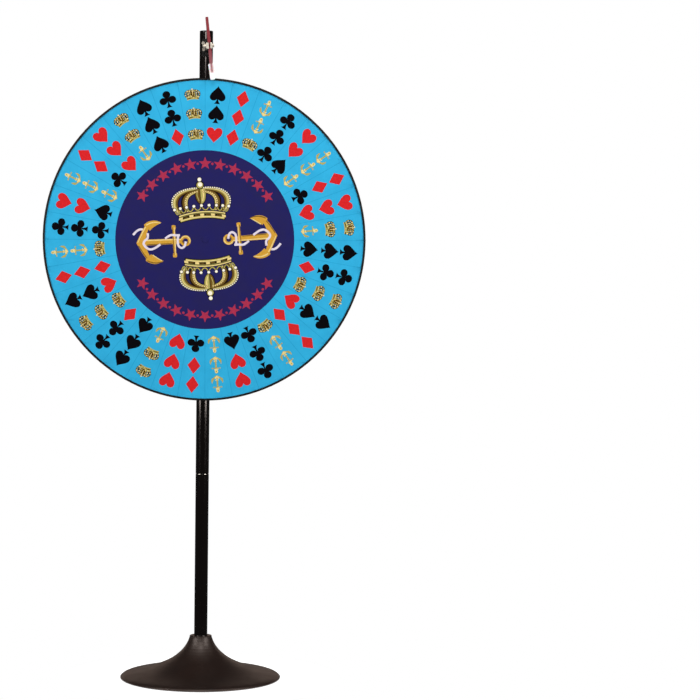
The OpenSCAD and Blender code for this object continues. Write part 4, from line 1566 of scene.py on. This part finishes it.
@dataclass
class Flapper:
    """Strip, tip and clamp at the pole's top; lengths are in millimetres.

    Attributes:
        lean: lean of the strip in degrees, its foot to the right.
        thick: thickness of the strip.
        taper: how far each side draws in towards the top end.
        deep: depth of the strip, front to back.
        up: length above the clamp's bolt.
        down: length below it.
        bend_from: not used.
        bend_to: distance below the bolt past which the strip is its full paler pink.
        corner: radius of its long edges.
        end: length of its round top end.
        end_narrowing: how far each side draws in there.
        lengths: number of lengths that its skin is cut into.
        end_rings: number of rings of the round end.
        stain_half: half width of the stain in the tip, as a share of the strip's thickness.
        stain_soft: width of the stain's blurred edge.
        screw_rise: distance of a bracket screw from the bolt's level.
        screw_head: height of that screw's head.
    """

    lean: float = 6.0
    thick: float = 9.0
    taper: float = 0.5
    deep: float = 10.0
    up: float = 81.0
    down: float = 76.0
    bend_from: float = 11.0
    bend_to: float = 49.0
    corner: float = 0.9
    end: float = 3.0
    end_narrowing: float = 0.5
    lengths: int = 64
    end_rings: int = 6
    stain_half: float = 0.42
    stain_soft: float = 4.5
    screw_rise: float = 18.0
    screw_head: float = 3.0

    def frame(self) -> Matrix:
        """Finds where the clamp holds the strip.

        Returns:
            The clamp's frame: x across the strip, y up it and z to the front.
        """
        return (Matrix.Translation(joint_at("wing_nut_turn"))
                @ Matrix.Rotation(math.pi / 2, 4, "X")
                @ Matrix.Rotation(math.radians(self.lean), 4, "Z"))

    def dress(self) -> None:
        """Gives the clamp its metals and the tip its plastic."""
        dress(BRACKET_COAT, "flapper_bracket")
        dress(ZINC, "clamp_plate", "clamp_keeper", "clamp_bolt", "wing_nut")
        # Moulded natural nylon: white and milky, so the strip inside shows as a pink stain.
        nylon = MilkyFinish(
            "moulded_milky_nylon", "#fdf6f6", "#f3eaea", patch=6, roughness=0.4, wander=0.05,
            grain=0.8, relief=0.01, specular=0.3, inside="#99585f",
            at=tuple(self.frame().translation), turn=tuple(self.frame().to_euler()),
            half=self.stain_half * self.thick * MM, foot=-self.down * MM, soft=self.stain_soft * MM)
        dress(nylon, "flapper_tip")

    def section(self, level: float, half_x: float, half_z: float, corner: float) -> list[Vector]:
        """Draws a rectangle with round corners across the strip.

        Args:
            level: its level above the bolt.
            half_x: half its width.
            half_z: half its depth.
            corner: radius of its corners.

        Returns:
            The ring of its points, in metres in the clamp's frame.
        """
        ring = []
        for k, (sx, sz) in enumerate(((1, 1), (1, -1), (-1, -1), (-1, 1))):
            for i in range(4):
                a = math.pi / 2 * (1 - k - i / 3)
                ring.append(Vector(((sx * (half_x - corner) + corner * math.cos(a)) * MM, level * MM,
                                    (sz * (half_z - corner) + corner * math.sin(a)) * MM)))
        return ring

    def strip(self) -> None:
        """Makes the strip as one piece, straight along its length."""
        half_z, least_step, least_corner = self.deep / 2, 0.1, 0.3
        rings = []
        for i in range(self.lengths + 1):
            level = -self.down + (self.up + self.down) * i / self.lengths
            half_x = self.thick / 2 - self.taper * max(level, 0) / self.up
            rings.append(self.section(level, half_x, half_z, self.corner))
        top = rings.pop()[0].y / MM - self.end
        rings = [r for r in rings if r[0].y / MM < top - least_step]
        for i in range(self.end_rings):
            a = math.pi / 2 * i / (self.end_rings - 1)
            rings.append(self.section(
                top + self.end * math.sin(a), half_x - self.end_narrowing * (1 - math.cos(a)),
                half_z - self.end * (1 - math.cos(a)), self.corner * max(math.cos(a), least_corner)))
        mesh = loft("flapper_strip", rings)
        mesh.transform(self.frame())
        # Cast red urethane: satin, a little cloudy, with draw lines along its length, and a paler,
        # dusty pink from below the clamp down to its foot.
        clamp = self.frame().translation.z
        urethane = BandedFinish(
            "red_urethane_strip", "#892d33", "#75222a", patch=4, roughness=0.5, wander=0.06,
            grain=0.8, relief=0.02, specular=0.35, stretch=(1, 1, 8), band_colour="#884e54",
            level=clamp - self.down * MM, reach=(self.down - self.bend_to) * MM, fade=self.bend_to * MM)
        mesh.materials.append(urethane.material())
        piece = add_object("flapper_strip", mesh)
        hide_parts("flapper_tail", "flapper_blade")
        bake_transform(piece)
        log.info("built %s across stand and flapper", piece.name)

    def screws(self) -> None:
        """Makes the two screws of the bracket."""
        low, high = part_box("bracket_screws")
        item = cross_screw("bracket_screw", [
            (2.6, self.screw_head), (3.6, 2.5), (4, 1.5), (4, 0), (2.5, 0), (2.5, -12),
        ])
        place = (Matrix.Translation((0, low.y + self.screw_head * MM, (low.z + high.z) / 2))
                 @ Matrix.Rotation(math.pi / 2, 4, "X"))
        made = ring_of("flapper_bracket_screws", item, 2, self.screw_rise, 0, 180, BLACK_OXIDE, place)
        keep(made, "stand", "black_oxide", "bracket_screws")

    def build(self) -> None:
        """Makes the strip and the screws."""
        self.strip()
        self.screws()


@dataclass(frozen=True)
class Softbox:
    """An upright soft light that faces the pole; lengths are in metres.

    Attributes:
        name: the light's name.
        azimuth: its direction from the pole in degrees, from the front to the right.
        away: its distance from the pole.
        low: height of its lower edge.
        high: height of its upper edge.
        width: its width.
        power: its power in watts.
        colour: its colour.
        spread: the angle into which it shines, in degrees.
    """

    name: str
    azimuth: float
    away: float
    low: float
    high: float
    width: float
    power: float
    colour: str = "#ffffff"
    spread: float = 180.0

    def build(self) -> None:
        """Stands the light, hidden from the camera."""
        light = bpy.data.lights.new(self.name, "AREA")
        light.shape, light.size, light.size_y = "RECTANGLE", self.width, self.high - self.low
        light.energy, light.spread = self.power, math.radians(self.spread)
        light.color = linear(self.colour)[:3]
        lamp = bpy.data.objects.new(self.name, light)
        turn = math.radians(self.azimuth)
        lamp.location = (self.away * math.sin(turn), -self.away * math.cos(turn), (self.low + self.high) / 2)
        lamp.rotation_euler = (math.pi / 2, 0, turn)
        lamp.visible_camera = False
        bpy.context.scene.collection.objects.link(lamp)


# Two lights at either side, two in front, two dim ones on the wheel's back and a low, warm backdrop.
SOFTBOXES = (
    Softbox("left_softbox", azimuth=-54, away=4, low=0.535, high=1.7, width=2.3, power=57),
    Softbox("right_softbox", azimuth=52, away=4, low=0.535, high=1.7, width=2.3, power=74),
    Softbox("upper_left_softbox", azimuth=-52, away=4, low=2.5, high=3.6, width=2.3, power=62),
    Softbox("upper_right_softbox", azimuth=50, away=4, low=2.5, high=3.6, width=2.3, power=56),
    Softbox("high_softbox", azimuth=-1, away=5, low=5.5, high=8.5, width=3.4, power=330),
    Softbox("narrow_softbox", azimuth=-11.5, away=5, low=2.17, high=2.7, width=1.6, power=16),
    Softbox("back_softbox", azimuth=-150, away=4, low=0.9, high=1.7, width=2.4, power=0.5, spread=30),
    Softbox("back_softbox", azimuth=150, away=4, low=0.9, high=1.7, width=2.4, power=0.5, spread=30),
    Softbox("backdrop", azimuth=180, away=4, low=0.55, high=1.7, width=7, power=16, colour="#ffe0ce"),
)


@dataclass
class Studio:
    """Floor, light and camera.

    Attributes:
        eye: the camera's place in metres.
        yaw: turn to the right in degrees.
        pitch: tilt upward.
        roll: roll of the picture.
        lens: focal length in millimetres.
        sensor: width of the sensor in millimetres.
        sight: how far the camera sees, in metres.
        floor_radius: radius of the floor in metres.
        floor_sides: sides of its outline.
        floor_glow: light that the floor gives by itself.
        ambient: light from all round.
    """

    eye: tuple[float, float, float] = (-0.135, -6.7, 1.2577)
    yaw: float = 4.761
    pitch: float = -2.5903
    roll: float = 0.7119
    lens: float = 119.716
    sensor: float = 36.0
    sight: float = 200.0
    floor_radius: float = 0.4
    floor_sides: int = 96
    floor_glow: float = 0.8
    ambient: float = 0.042

    def floor(self) -> None:
        """Lays a round white floor that glows a little, as a light table does, so it shows no grey."""
        rim = [(x, y, 0.0) for x, y in disc(0, 0, self.floor_radius, self.floor_sides)]
        mesh = bpy.data.meshes.new("floor")
        mesh.from_pydata(rim, [], [list(range(len(rim)))])
        # Sanded acrylic sheet: white, matte and even, so the base casts only a faint shadow on it.
        finish = Finish(
            "matte_white_acrylic", "#f4f4f4", "#efefef", patch=400, roughness=0.9, wander=0.03,
            grain=30, relief=0.01, specular=0.05, glow=self.floor_glow)
        mesh.materials.append(finish.material())
        add_object("floor", mesh)

    def world(self) -> None:
        """Sets a white backdrop and a dim light from all round."""
        world = bpy.data.worlds.new("studio")
        world.use_nodes = True
        tree = world.node_tree
        tree.nodes.clear()
        path = add_node(tree, "ShaderNodeLightPath")
        white = linear("#ffffff")
        around = add_node(tree, "ShaderNodeBackground", {"Color": white, "Strength": self.ambient})
        backdrop = add_node(tree, "ShaderNodeBackground", {"Color": white, "Strength": 1.0})
        shown = add_node(tree, "ShaderNodeMixShader", {
            0: path.outputs["Is Camera Ray"],
            1: around.outputs["Background"],
            2: backdrop.outputs["Background"],
        })
        add_node(tree, "ShaderNodeOutputWorld", {"Surface": shown.outputs["Shader"]})
        bpy.context.scene.world = world

    def lights(self) -> None:
        """Sets the backdrop and stands the lights."""
        self.world()
        for softbox in SOFTBOXES:
            softbox.build()

    def camera(self) -> None:
        """Sets the camera as the photograph had it."""
        yaw, pitch, roll = (math.radians(a) for a in (self.yaw, self.pitch, self.roll))
        ahead = Vector((math.sin(yaw) * math.cos(pitch), math.cos(yaw) * math.cos(pitch), math.sin(pitch)))
        right = Vector((math.cos(yaw), -math.sin(yaw), 0))
        up = right.cross(ahead)
        right, up = (right * math.cos(roll) + up * math.sin(roll),
                     up * math.cos(roll) - right * math.sin(roll))
        data = bpy.data.cameras.new("camera")
        data.sensor_width, data.lens, data.clip_end = self.sensor, self.lens, self.sight
        camera = bpy.data.objects.new("camera", data)
        camera.matrix_world = Matrix.Translation(self.eye) @ Matrix((right, up, -ahead)).transposed().to_4x4()
        bpy.context.scene.collection.objects.link(camera)
        bpy.context.scene.camera = camera

    def build(self) -> None:
        """Sets up the studio."""
        self.floor()
        self.lights()
        self.camera()
        bpy.context.scene.view_settings.view_transform = "Standard"


def main() -> None:
    """Builds the sub-assemblies in order and dresses them."""
    logging.basicConfig(level=logging.INFO, format="%(message)s")
    wheel = Wheel()
    for part in (Stand(), Hub(wheel), wheel, Flapper()):
        part.dress()
        part.build()
    Printing(wheel).build()
    Studio().build()


if __name__ == "__main__":
    main()
